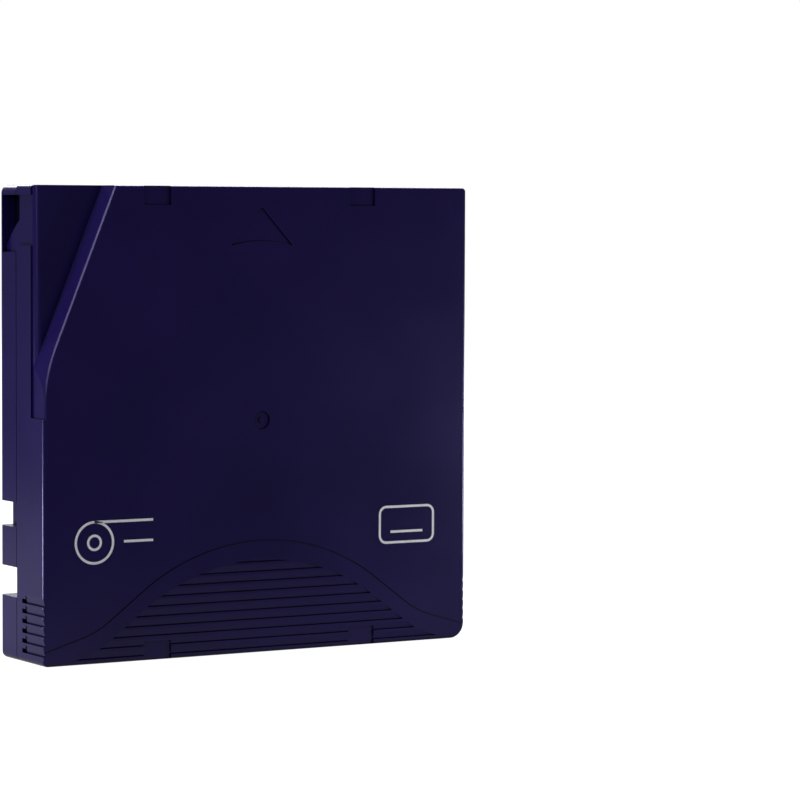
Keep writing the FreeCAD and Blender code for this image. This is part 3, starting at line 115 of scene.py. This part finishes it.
def new_material(name, **values):
    """Starts a material on one Principled shader and gives back it, its tree and the shader."""
    material = bpy.data.materials.new(name)
    material.use_nodes = True
    shader = material.node_tree.nodes["Principled BSDF"]
    for word, value in values.items():
        shader.inputs[word.replace("_", " ")].default_value = value
    return material, material.node_tree, shader


def finish_with(material, *names):
    """Puts a material on frame nodes or on new pieces."""
    for name in names:
        piece = nodes[name] if isinstance(name, str) else name
        piece.data.materials.clear()
        piece.data.materials.append(material)


polycarbonate, tree, shader = new_material("spark_eroded_polycarbonate_violet", IOR=1.58,
                                           Specular_Tint=SHEEN)
place = add_node(tree, "ShaderNodeTexCoord").outputs["Object"]
cloud = add_node(tree, "ShaderNodeTexNoise",
                 {"Vector": place, "Scale": 1 / FLOW_PATCH, "Detail": 3.0, "Roughness": 0.5})
grain = add_node(tree, "ShaderNodeTexNoise",
                 {"Vector": place, "Scale": 1 / SPARK_GRAIN, "Detail": 2.0, "Roughness": 0.6})
tone = add_node(tree, "ShaderNodeMapRange", {
    "Value": cloud.outputs["Fac"], "From Min": DARK_END, "From Max": PALE_END}).outputs["Result"]
skin = add_node(tree, "ShaderNodeMix", {
    FACTOR: tone, FIRST: srgb(VIOLET_DEEP), SECOND: srgb(VIOLET)}, data_type="RGBA")
# Painted shade: where ambient occlusion finds walls close by, the violet is mixed towards a near
# black.
open_sky = add_node(tree, "ShaderNodeAmbientOcclusion", {"Distance": GROOVE_REACH}, samples=12)
painted_shade_openness = add_node(tree, "ShaderNodeMapRange", {
    "Value": open_sky.outputs["AO"], "From Min": GROOVE_SHUT, "From Max": GROOVE_OPEN})
add_node(tree, "ShaderNodeMix", {
    FACTOR: painted_shade_openness.outputs["Result"], FIRST: srgb(VIOLET_PAINTED_GROOVE_SHADE), SECOND: skin.outputs[MIXED]},
    {MIXED: shader.inputs["Base Color"]}, data_type="RGBA")
add_node(tree, "ShaderNodeMapRange", {"Value": tone, "To Min": SATIN[0], "To Max": SATIN[1]},
         {"Result": shader.inputs["Roughness"]})
add_node(tree, "ShaderNodeBump", {
    "Height": grain.outputs["Fac"], "Strength": 0.10, "Distance": SPARK_DEPTH},
    {"Normal": shader.inputs["Normal"]})
finish_with(polycarbonate, "upper_shell", "lower_shell")


# ---------------------------------------------------------------- the ink marks on the top face
# The real case carries pad-printed ink on both sides of the thumb grip. Here each place holds a
# plain sign of a reel or of a slot in the same off-white ink, a few hundredths of a mm thick.

INK_RISE = 0.02 * MM
INK_LINE = 0.55 * MM
REEL_RADIUS, EYE_RADIUS = 4.4 * MM, 1.5 * MM
DASH_START, DASH_END = 2 * MM, 9 * MM
SLOT_WIDTH, SLOT_HEIGHT, SLOT_CORNER = 14 * MM, 8 * MM, 1.6 * MM
SLOT_LINE = 4.2 * MM


def strip_loop(points, width, closed):
    """The corners and faces of a flat line of one width through points in the face's plane."""
    count = len(points)
    corners, faces = [], []
    for number, point in enumerate(points):
        before = points[(number - 1) % count] if closed or number else point
        after = points[(number + 1) % count] if closed or number < count - 1 else point
        along = (Vector(after) - Vector(before)).normalized()
        side = Vector((-along.y, along.x)) * width / 2
        corners += [Vector(point) + side, Vector(point) - side]
    for number in range(count if closed else count - 1):
        after = (number + 1) % count
        faces.append((2 * number, 2 * number + 1, 2 * after + 1, 2 * after))
    return corners, faces


def ring_points(x, z, radius, count=48):
    """Points round a circle."""
    return [(x + radius * math.cos(2 * math.pi * k / count),
             z + radius * math.sin(2 * math.pi * k / count)) for k in range(count)]


def rounded_box(x, z, width, height, radius):
    """Points round a rectangle with rounded corners."""
    points = []
    for turn, (sx, sz) in enumerate(((1, 1), (-1, 1), (-1, -1), (1, -1))):
        for step in range(7):
            angle = math.pi / 2 * (turn + step / 6)
            points.append((x + sx * (width / 2 - radius) + radius * math.cos(angle),
                           z + sz * (height / 2 - radius) + radius * math.sin(angle)))
    return points


def ink_mark(name, loops):
    """Makes one flat mark on the top face out of closed and open lines."""
    corners, faces = [], []
    for points, closed in loops:
        some, more = strip_loop(points, INK_LINE, closed)
        first = len(corners)
        corners += [(v.x, cad_low.y - INK_RISE, v.y) for v in some]
        faces += [tuple(first + k for k in face) for face in more]
    mesh = bpy.data.meshes.new(name)
    mesh.from_pydata(corners, [], faces)
    piece = bpy.data.objects.new(name, mesh)
    scene.collection.objects.link(piece)
    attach(piece, "case")
    return piece


left_x, right_x = cad_low.x + 17 * MM, cad_high.x - 15.5 * MM
reel_x, reel_z = left_x - 5 * MM, 26 * MM
reel_sign = ink_mark("ink_reel_sign", [
    (ring_points(reel_x, reel_z, REEL_RADIUS), True),
    (ring_points(reel_x, reel_z, EYE_RADIUS, 32), True),
    ([(reel_x, reel_z + REEL_RADIUS), (left_x + DASH_END, reel_z + REEL_RADIUS)], False),
    ([(left_x + DASH_START, reel_z), (left_x + DASH_END, reel_z)], False),
])
slot_sign = ink_mark("ink_slot_sign", [
    (rounded_box(right_x, reel_z + 0.6 * MM, SLOT_WIDTH, SLOT_HEIGHT, SLOT_CORNER), True),
    ([(right_x - SLOT_LINE, reel_z - 1 * MM), (right_x + SLOT_LINE, reel_z - 1 * MM)], False),
])
ink, tree, shader = new_material("pad_printed_ink_off_white")
place = add_node(tree, "ShaderNodeTexCoord").outputs["Object"]
film = add_node(tree, "ShaderNodeTexNoise", {"Vector": place, "Scale": 1 / (0.6 * MM)})
tone = add_node(tree, "ShaderNodeMapRange", {
    "Value": film.outputs["Fac"], "From Min": DARK_END, "From Max": PALE_END}).outputs["Result"]
add_node(tree, "ShaderNodeMix", {FACTOR: tone, FIRST: srgb("#E6E5F0"), SECOND: srgb("#F6F5FC")},
         {MIXED: shader.inputs["Base Color"]}, data_type="RGBA")
add_node(tree, "ShaderNodeMapRange", {"Value": tone, "To Min": 0.45, "To Max": 0.6},
         {"Result": shader.inputs["Roughness"]})
finish_with(ink, reel_sign, slot_sign)


# ---------------------------------------------------------------- case screws
# Four self-tapping screws in zinc-plated steel, formed cold with a crossed recess. The plate has
# a slightly uneven grey sheen.

zinc, tree, shader = new_material("zinc_plated_cold_formed_steel", Metallic=1.0)
place = add_node(tree, "ShaderNodeTexCoord").outputs["Object"]
plate = add_node(tree, "ShaderNodeTexNoise",
                 {"Vector": place, "Scale": 1 / (0.5 * MM), "Detail": 3.0})
tone = add_node(tree, "ShaderNodeMapRange", {
    "Value": plate.outputs["Fac"], "From Min": DARK_END, "From Max": PALE_END}).outputs["Result"]
add_node(tree, "ShaderNodeMix", {FACTOR: tone, FIRST: srgb("#8C8B8A"), SECOND: srgb("#B0AFAE")},
         {MIXED: shader.inputs["Base Color"]}, data_type="RGBA")
add_node(tree, "ShaderNodeMapRange", {"Value": tone, "To Min": 0.28, "To Max": 0.42},
         {"Result": shader.inputs["Roughness"]})
add_node(tree, "ShaderNodeBump", {
    "Height": plate.outputs["Fac"], "Strength": 0.15, "Distance": 0.01 * MM},
    {"Normal": shader.inputs["Normal"]})
finish_with(zinc, "case_screws")


# ---------------------------------------------------------------- the sliding door
# The door is moulded in the case's own polycarbonate, from a mould with the same grain. Its dish
# and its inner side are painted near black, as painted shade for a recess that hardly sees a lamp.

DOOR_FACE = cad_low.x + 1.02 * MM    # the door's outer side, a little way into its wall
PAINTED_SHADE_EDGE = 0.2 * MM
DISH_PAINTED_SHADE = "#060516"

door, tree, shader = new_material("spark_eroded_polycarbonate_door", IOR=1.58,
                                  Specular_Tint=SHEEN)
place = add_node(tree, "ShaderNodeTexCoord").outputs["Object"]
across = add_node(tree, "ShaderNodeSeparateXYZ", {"Vector": place}).outputs["X"]
cloud = add_node(tree, "ShaderNodeTexNoise",
                 {"Vector": place, "Scale": 1 / FLOW_PATCH, "Detail": 3.0, "Roughness": 0.5})
grain = add_node(tree, "ShaderNodeTexNoise",
                 {"Vector": place, "Scale": 1 / SPARK_GRAIN, "Detail": 2.0, "Roughness": 0.6})
tone = add_node(tree, "ShaderNodeMapRange", {
    "Value": cloud.outputs["Fac"], "From Min": DARK_END, "From Max": PALE_END}).outputs["Result"]
skin = add_node(tree, "ShaderNodeMix", {
    FACTOR: tone, FIRST: srgb(VIOLET_DEEP), SECOND: srgb(VIOLET)}, data_type="RGBA")
# Painted shade: deeper than the door's outer side, the violet turns near black.
inside = add_node(tree, "ShaderNodeMapRange", {
    "Value": across, "From Min": DOOR_FACE, "From Max": DOOR_FACE + PAINTED_SHADE_EDGE})
add_node(tree, "ShaderNodeMix", {
    FACTOR: inside.outputs["Result"], FIRST: skin.outputs[MIXED], SECOND: srgb(DISH_PAINTED_SHADE)},
    {MIXED: shader.inputs["Base Color"]}, data_type="RGBA")
add_node(tree, "ShaderNodeMapRange", {"Value": tone, "To Min": SATIN[0], "To Max": SATIN[1]},
         {"Result": shader.inputs["Roughness"]})
add_node(tree, "ShaderNodeBump", {
    "Height": grain.outputs["Fac"], "Strength": 0.10, "Distance": SPARK_DEPTH},
    {"Normal": shader.inputs["Normal"]})
finish_with(door, "access_door")


# ---------------------------------------------------------------- springs and retaining wire
# Two wound springs and the bent wire that holds the leader pin, of drawn spring steel with fine
# streaks and a dull grey shine.

def hold_between(node):
    """Copies a wound spring into a new object with its placement baked in, and hides the frame's
    spring.
    """
    coil = bpy.data.objects.new(node + "_wound", nodes[node].data.copy())
    scene.collection.objects.link(coil)
    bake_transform(coil)
    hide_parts(node)
    return coil


door_coil = hold_between("door_spring")
brake_coil = hold_between("brake_spring")

drawn, tree, shader = new_material("drawn_spring_steel_wire", Metallic=1.0)
place = add_node(tree, "ShaderNodeTexCoord").outputs["Object"]
streaks = add_node(tree, "ShaderNodeTexNoise",
                   {"Vector": place, "Scale": 1 / (0.25 * MM), "Detail": 4.0, "Distortion": 1.5})
tone = add_node(tree, "ShaderNodeMapRange", {
    "Value": streaks.outputs["Fac"], "From Min": DARK_END, "From Max": PALE_END}).outputs["Result"]
add_node(tree, "ShaderNodeMix", {FACTOR: tone, FIRST: srgb("#9C9A96"), SECOND: srgb("#C6C4BF")},
         {MIXED: shader.inputs["Base Color"]}, data_type="RGBA")
add_node(tree, "ShaderNodeMapRange", {"Value": tone, "To Min": 0.22, "To Max": 0.34},
         {"Result": shader.inputs["Roughness"]})
add_node(tree, "ShaderNodeBump", {
    "Height": streaks.outputs["Fac"], "Strength": 0.2, "Distance": 0.006 * MM},
    {"Normal": shader.inputs["Normal"]})
finish_with(drawn, door_coil, brake_coil, "pin_retaining_wire")


# ---------------------------------------------------------------- leader pin
# A stainless steel pin turned in one piece. The tool leaves fine rings round it, drawn here at
# 0.3 mm where the real ones are near 0.05 mm.

WAVE = 0.314                 # length in metres of one wave in a wave pattern at scale 1
RING_STEP = 0.3 * MM

turned, tree, shader = new_material("turned_stainless_steel", Metallic=1.0)
place = add_node(tree, "ShaderNodeTexCoord").outputs["Object"]
rings = add_node(tree, "ShaderNodeTexWave", {
    "Vector": place, "Scale": WAVE / RING_STEP, "Distortion": 0.4}, bands_direction="Y")
tone = add_node(tree, "ShaderNodeMapRange", {
    "Value": rings.outputs["Fac"], "From Min": DARK_END, "From Max": PALE_END}).outputs["Result"]
add_node(tree, "ShaderNodeMix", {FACTOR: tone, FIRST: srgb("#BDBDBE"), SECOND: srgb("#D9D9D9")},
         {MIXED: shader.inputs["Base Color"]}, data_type="RGBA")
add_node(tree, "ShaderNodeMapRange", {"Value": tone, "To Min": 0.16, "To Max": 0.24},
         {"Result": shader.inputs["Roughness"]})
add_node(tree, "ShaderNodeBump", {
    "Height": rings.outputs["Fac"], "Strength": 0.2, "Distance": 0.005 * MM},
    {"Normal": shader.inputs["Normal"]})
finish_with(turned, "leader_pin")


# ---------------------------------------------------------------- leader pin clip
# A springy sleeve moulded in black acetal, which clamps the end of the tape round the pin. Acetal
# comes out of its mould with a waxy half gloss.

acetal_black, tree, shader = new_material("moulded_acetal_black", IOR=1.48)
place = add_node(tree, "ShaderNodeTexCoord").outputs["Object"]
wax = add_node(tree, "ShaderNodeTexNoise", {"Vector": place, "Scale": 1 / (1.2 * MM)})
tone = add_node(tree, "ShaderNodeMapRange", {
    "Value": wax.outputs["Fac"], "From Min": DARK_END, "From Max": PALE_END}).outputs["Result"]
add_node(tree, "ShaderNodeMix", {FACTOR: tone, FIRST: srgb("#17171A"), SECOND: srgb("#232327")},
         {MIXED: shader.inputs["Base Color"]}, data_type="RGBA")
add_node(tree, "ShaderNodeMapRange", {"Value": tone, "To Min": 0.30, "To Max": 0.42},
         {"Result": shader.inputs["Roughness"]})
add_node(tree, "ShaderNodeBump", {
    "Height": wax.outputs["Fac"], "Strength": 0.1, "Distance": 0.02 * MM},
    {"Normal": shader.inputs["Normal"]})
finish_with(acetal_black, "leader_pin_clip")


# ---------------------------------------------------------------- tape
# Half-inch polyester tape with a black-brown metal particle coating. The strip is mirror smooth,
# and the wound pack shows its edges as fine rings, drawn 0.3 mm apart for turns of 0.009 mm.

TURN_STEP = 0.3 * MM

coated, tree, shader = new_material("metal_particle_tape", IOR=1.6)
place = add_node(tree, "ShaderNodeTexCoord").outputs["Object"]
reel_middle = (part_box("reel_hub")[0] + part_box("reel_hub")[1]) / 2
centred = add_node(tree, "ShaderNodeVectorMath", {0: place, 1: tuple(reel_middle)},
                   operation="SUBTRACT")
turns = add_node(tree, "ShaderNodeTexWave", {
    "Vector": centred.outputs["Vector"], "Scale": WAVE / TURN_STEP, "Distortion": 0.6},
    wave_type="RINGS", rings_direction="Y")
tone = add_node(tree, "ShaderNodeMapRange", {
    "Value": turns.outputs["Fac"], "From Min": DARK_END, "From Max": PALE_END}).outputs["Result"]
add_node(tree, "ShaderNodeMix", {FACTOR: tone, FIRST: srgb("#1B1614"), SECOND: srgb("#2C2522")},
         {MIXED: shader.inputs["Base Color"]}, data_type="RGBA")
add_node(tree, "ShaderNodeMapRange", {"Value": tone, "To Min": 0.16, "To Max": 0.30},
         {"Result": shader.inputs["Roughness"]})
add_node(tree, "ShaderNodeBump", {
    "Height": turns.outputs["Fac"], "Strength": 0.25, "Distance": 0.02 * MM},
    {"Normal": shader.inputs["Normal"]})
finish_with(coated, "tape_leader", "tape_pack")


# ---------------------------------------------------------------- reel hub and top flange
# The hub with its lower flange and teeth, and the welded upper flange, are moulded in natural
# glass-filled polycarbonate. Short fibres show as faint streaks under a milky grey-white skin.

FIBRE = 0.8 * MM             # fibres are 0.2 mm long: drawn longer so that they show

filled, tree, shader = new_material("glass_filled_polycarbonate_natural", IOR=1.58)
place = add_node(tree, "ShaderNodeTexCoord").outputs["Object"]
stretched = add_node(tree, "ShaderNodeMapping", {"Vector": place, "Scale": (1.0, 1.0, 3.0)})
fibres = add_node(tree, "ShaderNodeTexNoise",
                  {"Vector": stretched.outputs["Vector"], "Scale": 1 / FIBRE, "Detail": 4.0,
                   "Distortion": 0.8})
tone = add_node(tree, "ShaderNodeMapRange", {
    "Value": fibres.outputs["Fac"], "From Min": DARK_END, "From Max": PALE_END}).outputs["Result"]
add_node(tree, "ShaderNodeMix", {FACTOR: tone, FIRST: srgb("#A9A8A1"), SECOND: srgb("#C4C3BC")},
         {MIXED: shader.inputs["Base Color"]}, data_type="RGBA")
add_node(tree, "ShaderNodeMapRange", {"Value": tone, "To Min": 0.34, "To Max": 0.48},
         {"Result": shader.inputs["Roughness"]})
add_node(tree, "ShaderNodeBump", {
    "Height": fibres.outputs["Fac"], "Strength": 0.12, "Distance": 0.02 * MM},
    {"Normal": shader.inputs["Normal"]})
finish_with(filled, "reel_hub", "reel_top_flange")


# ---------------------------------------------------------------- drive washer
# A steel washer, stamped from nickel-plated sheet, which the drive's magnet pulls on. Rolling
# leaves faint straight lines across it.

nickel, tree, shader = new_material("stamped_nickel_plated_sheet", Metallic=1.0)
place = add_node(tree, "ShaderNodeTexCoord").outputs["Object"]
stretched = add_node(tree, "ShaderNodeMapping", {"Vector": place, "Scale": (1.0, 1.0, 14.0)})
rolled = add_node(tree, "ShaderNodeTexNoise",
                  {"Vector": stretched.outputs["Vector"], "Scale": 1 / (4 * MM), "Detail": 5.0})
tone = add_node(tree, "ShaderNodeMapRange", {
    "Value": rolled.outputs["Fac"], "From Min": DARK_END, "From Max": PALE_END}).outputs["Result"]
add_node(tree, "ShaderNodeMix", {FACTOR: tone, FIRST: srgb("#A8A6A0"), SECOND: srgb("#C9C7C0")},
         {MIXED: shader.inputs["Base Color"]}, data_type="RGBA")
add_node(tree, "ShaderNodeMapRange", {"Value": tone, "To Min": 0.2, "To Max": 0.34},
         {"Result": shader.inputs["Roughness"]})
add_node(tree, "ShaderNodeBump", {
    "Height": rolled.outputs["Fac"], "Strength": 0.15, "Distance": 0.008 * MM},
    {"Normal": shader.inputs["Normal"]})
finish_with(nickel, "drive_washer")


# ---------------------------------------------------------------- brake button
# The brake is moulded in natural acetal, a milky white plastic that slides on the case's post
# without oil.

acetal_white, tree, shader = new_material("moulded_acetal_natural", IOR=1.48)
place = add_node(tree, "ShaderNodeTexCoord").outputs["Object"]
wax = add_node(tree, "ShaderNodeTexNoise", {"Vector": place, "Scale": 1 / (3 * MM)})
tone = add_node(tree, "ShaderNodeMapRange", {
    "Value": wax.outputs["Fac"], "From Min": DARK_END, "From Max": PALE_END}).outputs["Result"]
add_node(tree, "ShaderNodeMix", {FACTOR: tone, FIRST: srgb("#D6D4CA"), SECOND: srgb("#E4E2DA")},
         {MIXED: shader.inputs["Base Color"]}, data_type="RGBA")
add_node(tree, "ShaderNodeMapRange", {"Value": tone, "To Min": 0.32, "To Max": 0.44},
         {"Result": shader.inputs["Roughness"]})
add_node(tree, "ShaderNodeBump", {
    "Height": wax.outputs["Fac"], "Strength": 0.08, "Distance": 0.02 * MM},
    {"Normal": shader.inputs["Normal"]})
finish_with(acetal_white, "brake_button")


# ---------------------------------------------------------------- brake release pad
# The three-legged pad is moulded in grey acetal. Its leg tips, which the drive pushes, polish
# with use, so they shine more than the rest.

WORN_TIP = 0.4 * MM

acetal_grey, tree, shader = new_material("moulded_acetal_grey", IOR=1.48)
place = add_node(tree, "ShaderNodeTexCoord").outputs["Object"]
height = add_node(tree, "ShaderNodeSeparateXYZ", {"Vector": place}).outputs["Y"]
wax = add_node(tree, "ShaderNodeTexNoise", {"Vector": place, "Scale": 1 / (2 * MM)})
tone = add_node(tree, "ShaderNodeMapRange", {
    "Value": wax.outputs["Fac"], "From Min": DARK_END, "From Max": PALE_END}).outputs["Result"]
add_node(tree, "ShaderNodeMix", {FACTOR: tone, FIRST: srgb("#4B4B50"), SECOND: srgb("#5C5C62")},
         {MIXED: shader.inputs["Base Color"]}, data_type="RGBA")
pad_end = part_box("brake_release_pad")[1].y
add_node(tree, "ShaderNodeMapRange", {
    "Value": height, "From Min": pad_end - WORN_TIP, "From Max": pad_end,
    "To Min": 0.40, "To Max": 0.18}, {"Result": shader.inputs["Roughness"]})
add_node(tree, "ShaderNodeBump", {
    "Height": wax.outputs["Fac"], "Strength": 0.1, "Distance": 0.02 * MM},
    {"Normal": shader.inputs["Normal"]})
finish_with(acetal_grey, "brake_release_pad")


# ---------------------------------------------------------------- write-protect switch
# The slide is moulded in red ABS, so that its place shows at a glance in the rear edge's window.
# Its skin is the fine, slightly uneven one of a small moulding.

abs_red, tree, shader = new_material("moulded_abs_red", IOR=1.54)
place = add_node(tree, "ShaderNodeTexCoord").outputs["Object"]
skin = add_node(tree, "ShaderNodeTexNoise", {"Vector": place, "Scale": 1 / (0.4 * MM)})
tone = add_node(tree, "ShaderNodeMapRange", {
    "Value": skin.outputs["Fac"], "From Min": DARK_END, "From Max": PALE_END}).outputs["Result"]
add_node(tree, "ShaderNodeMix", {FACTOR: tone, FIRST: srgb("#A22A1C"), SECOND: srgb("#B4372A")},
         {MIXED: shader.inputs["Base Color"]}, data_type="RGBA")
add_node(tree, "ShaderNodeMapRange", {"Value": tone, "To Min": 0.36, "To Max": 0.48},
         {"Result": shader.inputs["Roughness"]})
add_node(tree, "ShaderNodeBump", {
    "Height": skin.outputs["Fac"], "Strength": 0.12, "Distance": 0.02 * MM},
    {"Normal": shader.inputs["Normal"]})
finish_with(abs_red, "write_protect_switch")


# ---------------------------------------------------------------- cartridge memory
# A small board in glass-epoxy laminate under green solder resist, with a coil of copper track
# that shows through it as fine lines, and a chip sealed in black cast resin.

TRACK_STEP = 0.6 * MM        # the real coil's tracks are 0.2 mm apart

laminate, tree, shader = new_material("solder_resist_on_laminate_green", IOR=1.5)
place = add_node(tree, "ShaderNodeTexCoord").outputs["Object"]
tracks = add_node(tree, "ShaderNodeTexWave", {"Vector": place, "Scale": WAVE / TRACK_STEP},
                  bands_direction="X")
tone = add_node(tree, "ShaderNodeMapRange", {
    "Value": tracks.outputs["Fac"], "From Min": DARK_END, "From Max": PALE_END}).outputs["Result"]
add_node(tree, "ShaderNodeMix", {FACTOR: tone, FIRST: srgb("#12452A"), SECOND: srgb("#2E6B3B")},
         {MIXED: shader.inputs["Base Color"]}, data_type="RGBA")
add_node(tree, "ShaderNodeMapRange", {"Value": tone, "To Min": 0.25, "To Max": 0.32},
         {"Result": shader.inputs["Roughness"]})
add_node(tree, "ShaderNodeBump", {
    "Height": tracks.outputs["Fac"], "Strength": 0.3, "Distance": 0.03 * MM},
    {"Normal": shader.inputs["Normal"]})
finish_with(laminate, "memory_board")

resin, tree, shader = new_material("cast_epoxy_black", IOR=1.55)
place = add_node(tree, "ShaderNodeTexCoord").outputs["Object"]
filler = add_node(tree, "ShaderNodeTexNoise", {"Vector": place, "Scale": 1 / (0.3 * MM)})
tone = add_node(tree, "ShaderNodeMapRange", {
    "Value": filler.outputs["Fac"], "From Min": DARK_END, "From Max": PALE_END}).outputs["Result"]
add_node(tree, "ShaderNodeMix", {FACTOR: tone, FIRST: srgb("#111113"), SECOND: srgb("#1B1B1E")},
         {MIXED: shader.inputs["Base Color"]}, data_type="RGBA")
add_node(tree, "ShaderNodeMapRange", {"Value": tone, "To Min": 0.30, "To Max": 0.42},
         {"Result": shader.inputs["Roughness"]})
add_node(tree, "ShaderNodeBump", {
    "Height": filler.outputs["Fac"], "Strength": 0.12, "Distance": 0.02 * MM},
    {"Normal": shader.inputs["Normal"]})
finish_with(resin, "memory_chip")


# ---------------------------------------------------------------- the floor
# A sheet of white paper, plain white to the eye and a little less at the cartridge's foot, so
# that the contact shadow shows. A shiny surface mirrors it as dim, with a paler patch on the left.

FLOOR_HALF = 6.0
PAPER = "#8C8C8C"                    # what the lamps see of it: the rest of its white is a glow
FOOT_GLOW = 0.92
FOOT_NEAR, FOOT_FAR = 0.06, 0.30     # the glow grows to plain white between these distances
PATCH_MIDDLE = (-0.12, 0.12, 0.0)
PATCH_NEAR, PATCH_FAR = 0.08, 0.35   # the pale patch fades out between these distances
PATCH_SHEEN, FLOOR_SHEEN = 0.42, 0.10

mesh = bpy.data.meshes.new("paper_floor")
mesh.from_pydata([(-FLOOR_HALF, -FLOOR_HALF, 0), (FLOOR_HALF, -FLOOR_HALF, 0),
                  (FLOOR_HALF, FLOOR_HALF, 0), (-FLOOR_HALF, FLOOR_HALF, 0)], [], [(0, 1, 2, 3)])
floor = bpy.data.objects.new("paper_floor", mesh)
scene.collection.objects.link(floor)

paper, tree, shader = new_material("matt_white_paper", Base_Color=srgb(PAPER), Roughness=0.9,
                                   Specular_IOR_Level=0.0)
rays = add_node(tree, "ShaderNodeLightPath")
seen = add_node(tree, "ShaderNodeMath", {
    0: rays.outputs["Is Camera Ray"], 1: rays.outputs["Is Transmission Ray"]},
    operation="ADD", use_clamp=True)
place = add_node(tree, "ShaderNodeTexCoord").outputs["Object"]
away = add_node(tree, "ShaderNodeVectorMath", {0: place}, operation="LENGTH")
level = add_node(tree, "ShaderNodeMapRange", {
    "Value": away.outputs["Value"], "From Min": FOOT_NEAR, "From Max": FOOT_FAR,
    "To Min": FOOT_GLOW, "To Max": 1.0})
lift = add_node(tree, "ShaderNodeMath", {0: seen.outputs[0], 1: level.outputs["Result"]},
                operation="MULTIPLY")
glow = add_node(tree, "ShaderNodeEmission", {"Strength": lift.outputs[0]})
lit_paper = add_node(tree, "ShaderNodeAddShader", {0: shader.outputs[0], 1: glow.outputs[0]})
aside = add_node(tree, "ShaderNodeVectorMath", {0: place, 1: PATCH_MIDDLE}, operation="DISTANCE")
patch = add_node(tree, "ShaderNodeMapRange", {
    "Value": aside.outputs["Value"], "From Min": PATCH_NEAR, "From Max": PATCH_FAR,
    "To Min": PATCH_SHEEN, "To Max": FLOOR_SHEEN})
sheen = add_node(tree, "ShaderNodeEmission", {"Strength": patch.outputs["Result"]})
add_node(tree, "ShaderNodeMixShader", {
    0: rays.outputs["Is Glossy Ray"], 1: lit_paper.outputs[0], 2: sheen.outputs[0]},
    {0: tree.nodes["Material Output"].inputs["Surface"]})
finish_with(paper, floor)


# ---------------------------------------------------------------- the air round it
# Plain white to the eye, and a faint light from all round. A shiny surface mirrors it as dim,
# but for a white wall behind the cartridge and to its right.

AIR_LIGHT = 0.055
AIR_SHEEN, WALL_SHEEN = 0.09, 0.55

world = bpy.data.worlds.new("white_air")
scene.world = world
world.use_nodes = True
tree = world.node_tree
background = tree.nodes["Background"]
background.inputs["Color"].default_value = (1, 1, 1, 1)
rays = add_node(tree, "ShaderNodeLightPath")
place = add_node(tree, "ShaderNodeTexCoord").outputs["Generated"]
heading = add_node(tree, "ShaderNodeSeparateXYZ", {"Vector": place})
rightwards = add_node(tree, "ShaderNodeMapRange", {
    "Value": heading.outputs["X"], "From Min": -0.35, "From Max": 0.15})
backwards = add_node(tree, "ShaderNodeMapRange", {
    "Value": heading.outputs["Y"], "From Min": 0.05, "From Max": 0.4})
white_wall = add_node(tree, "ShaderNodeMath", {
    0: rightwards.outputs["Result"], 1: backwards.outputs["Result"]}, operation="MULTIPLY")
mirrored = add_node(tree, "ShaderNodeMapRange", {
    "Value": white_wall.outputs[0], "To Min": AIR_SHEEN, "To Max": WALL_SHEEN})
unseen = add_node(tree, "ShaderNodeMapRange", {
    "Value": rays.outputs["Is Glossy Ray"], "To Min": AIR_LIGHT,
    "To Max": mirrored.outputs["Result"]})
add_node(tree, "ShaderNodeMapRange", {
    "Value": rays.outputs["Is Camera Ray"], "To Min": unseen.outputs["Result"], "To Max": 1.0},
    {"Result": background.inputs["Strength"]})


# ---------------------------------------------------------------- lamps
# Soft boxes: a tall strip on the left that the guide's chamfered lip mirrors, a strip above for
# the guide's wall, a low one at each side for the foot, and a large one behind for the far sides.

def soft_box(name, place, target, width, height, power):
    """Hangs one rectangular lamp at a place, turned to a target."""
    lamp = bpy.data.lights.new(name, "AREA")
    lamp.shape = "RECTANGLE"
    lamp.size, lamp.size_y, lamp.energy = width, height, power
    holder = bpy.data.objects.new(name, lamp)
    scene.collection.objects.link(holder)
    holder.location = place
    holder.rotation_euler = (Vector(target) - Vector(place)).to_track_quat("-Z", "Y").to_euler()


middle = (cad_low + cad_high) / 2
soft_box("left_strip", (-0.73, -0.47, 0.46), (-0.03, cad_low.y, 0.08), 0.08, 0.6, 2.3)
soft_box("top_strip", (-0.12, 0.09, 0.60), middle, 0.5, 0.2, 3.2)
soft_box("low_left_box", (-0.19, 0.03, 0.005), (cad_low.x, 0, 0.01), 0.05, 0.04, 0.235)
soft_box("low_right_box", (0.27, -0.15, 0.01), (0.05, cad_low.y, 0.0), 0.08, 0.06, 0.50)
soft_box("back_box", (0.5, 1.5, 1.2), middle, 1.2, 1.0, 25)


# ---------------------------------------------------------------- camera
# A long lens to the left of the case and level with its upper part, so that the top face and the
# left side both show. It looks a little downwards.

YAW, PITCH, ROLL = math.radians(31.43), math.radians(-3.163), math.radians(0.229)

camera_data = bpy.data.cameras.new("camera")
camera_data.lens = 152.5
camera_data.sensor_width = 36.0
camera_data.clip_start = 0.01
camera = bpy.data.objects.new("camera", camera_data)
scene.collection.objects.link(camera)
camera.location = (-359.98 * MM, -657.67 * MM, 96.41 * MM)
forward = Vector((math.sin(YAW) * math.cos(PITCH), math.cos(YAW) * math.cos(PITCH),
                  math.sin(PITCH)))
camera.rotation_euler = (forward.to_track_quat("-Z", "Y").to_matrix()
                         @ Matrix.Rotation(ROLL, 3, "Z")).to_euler()
scene.camera = camera
scene.view_settings.view_transform = "Standard"
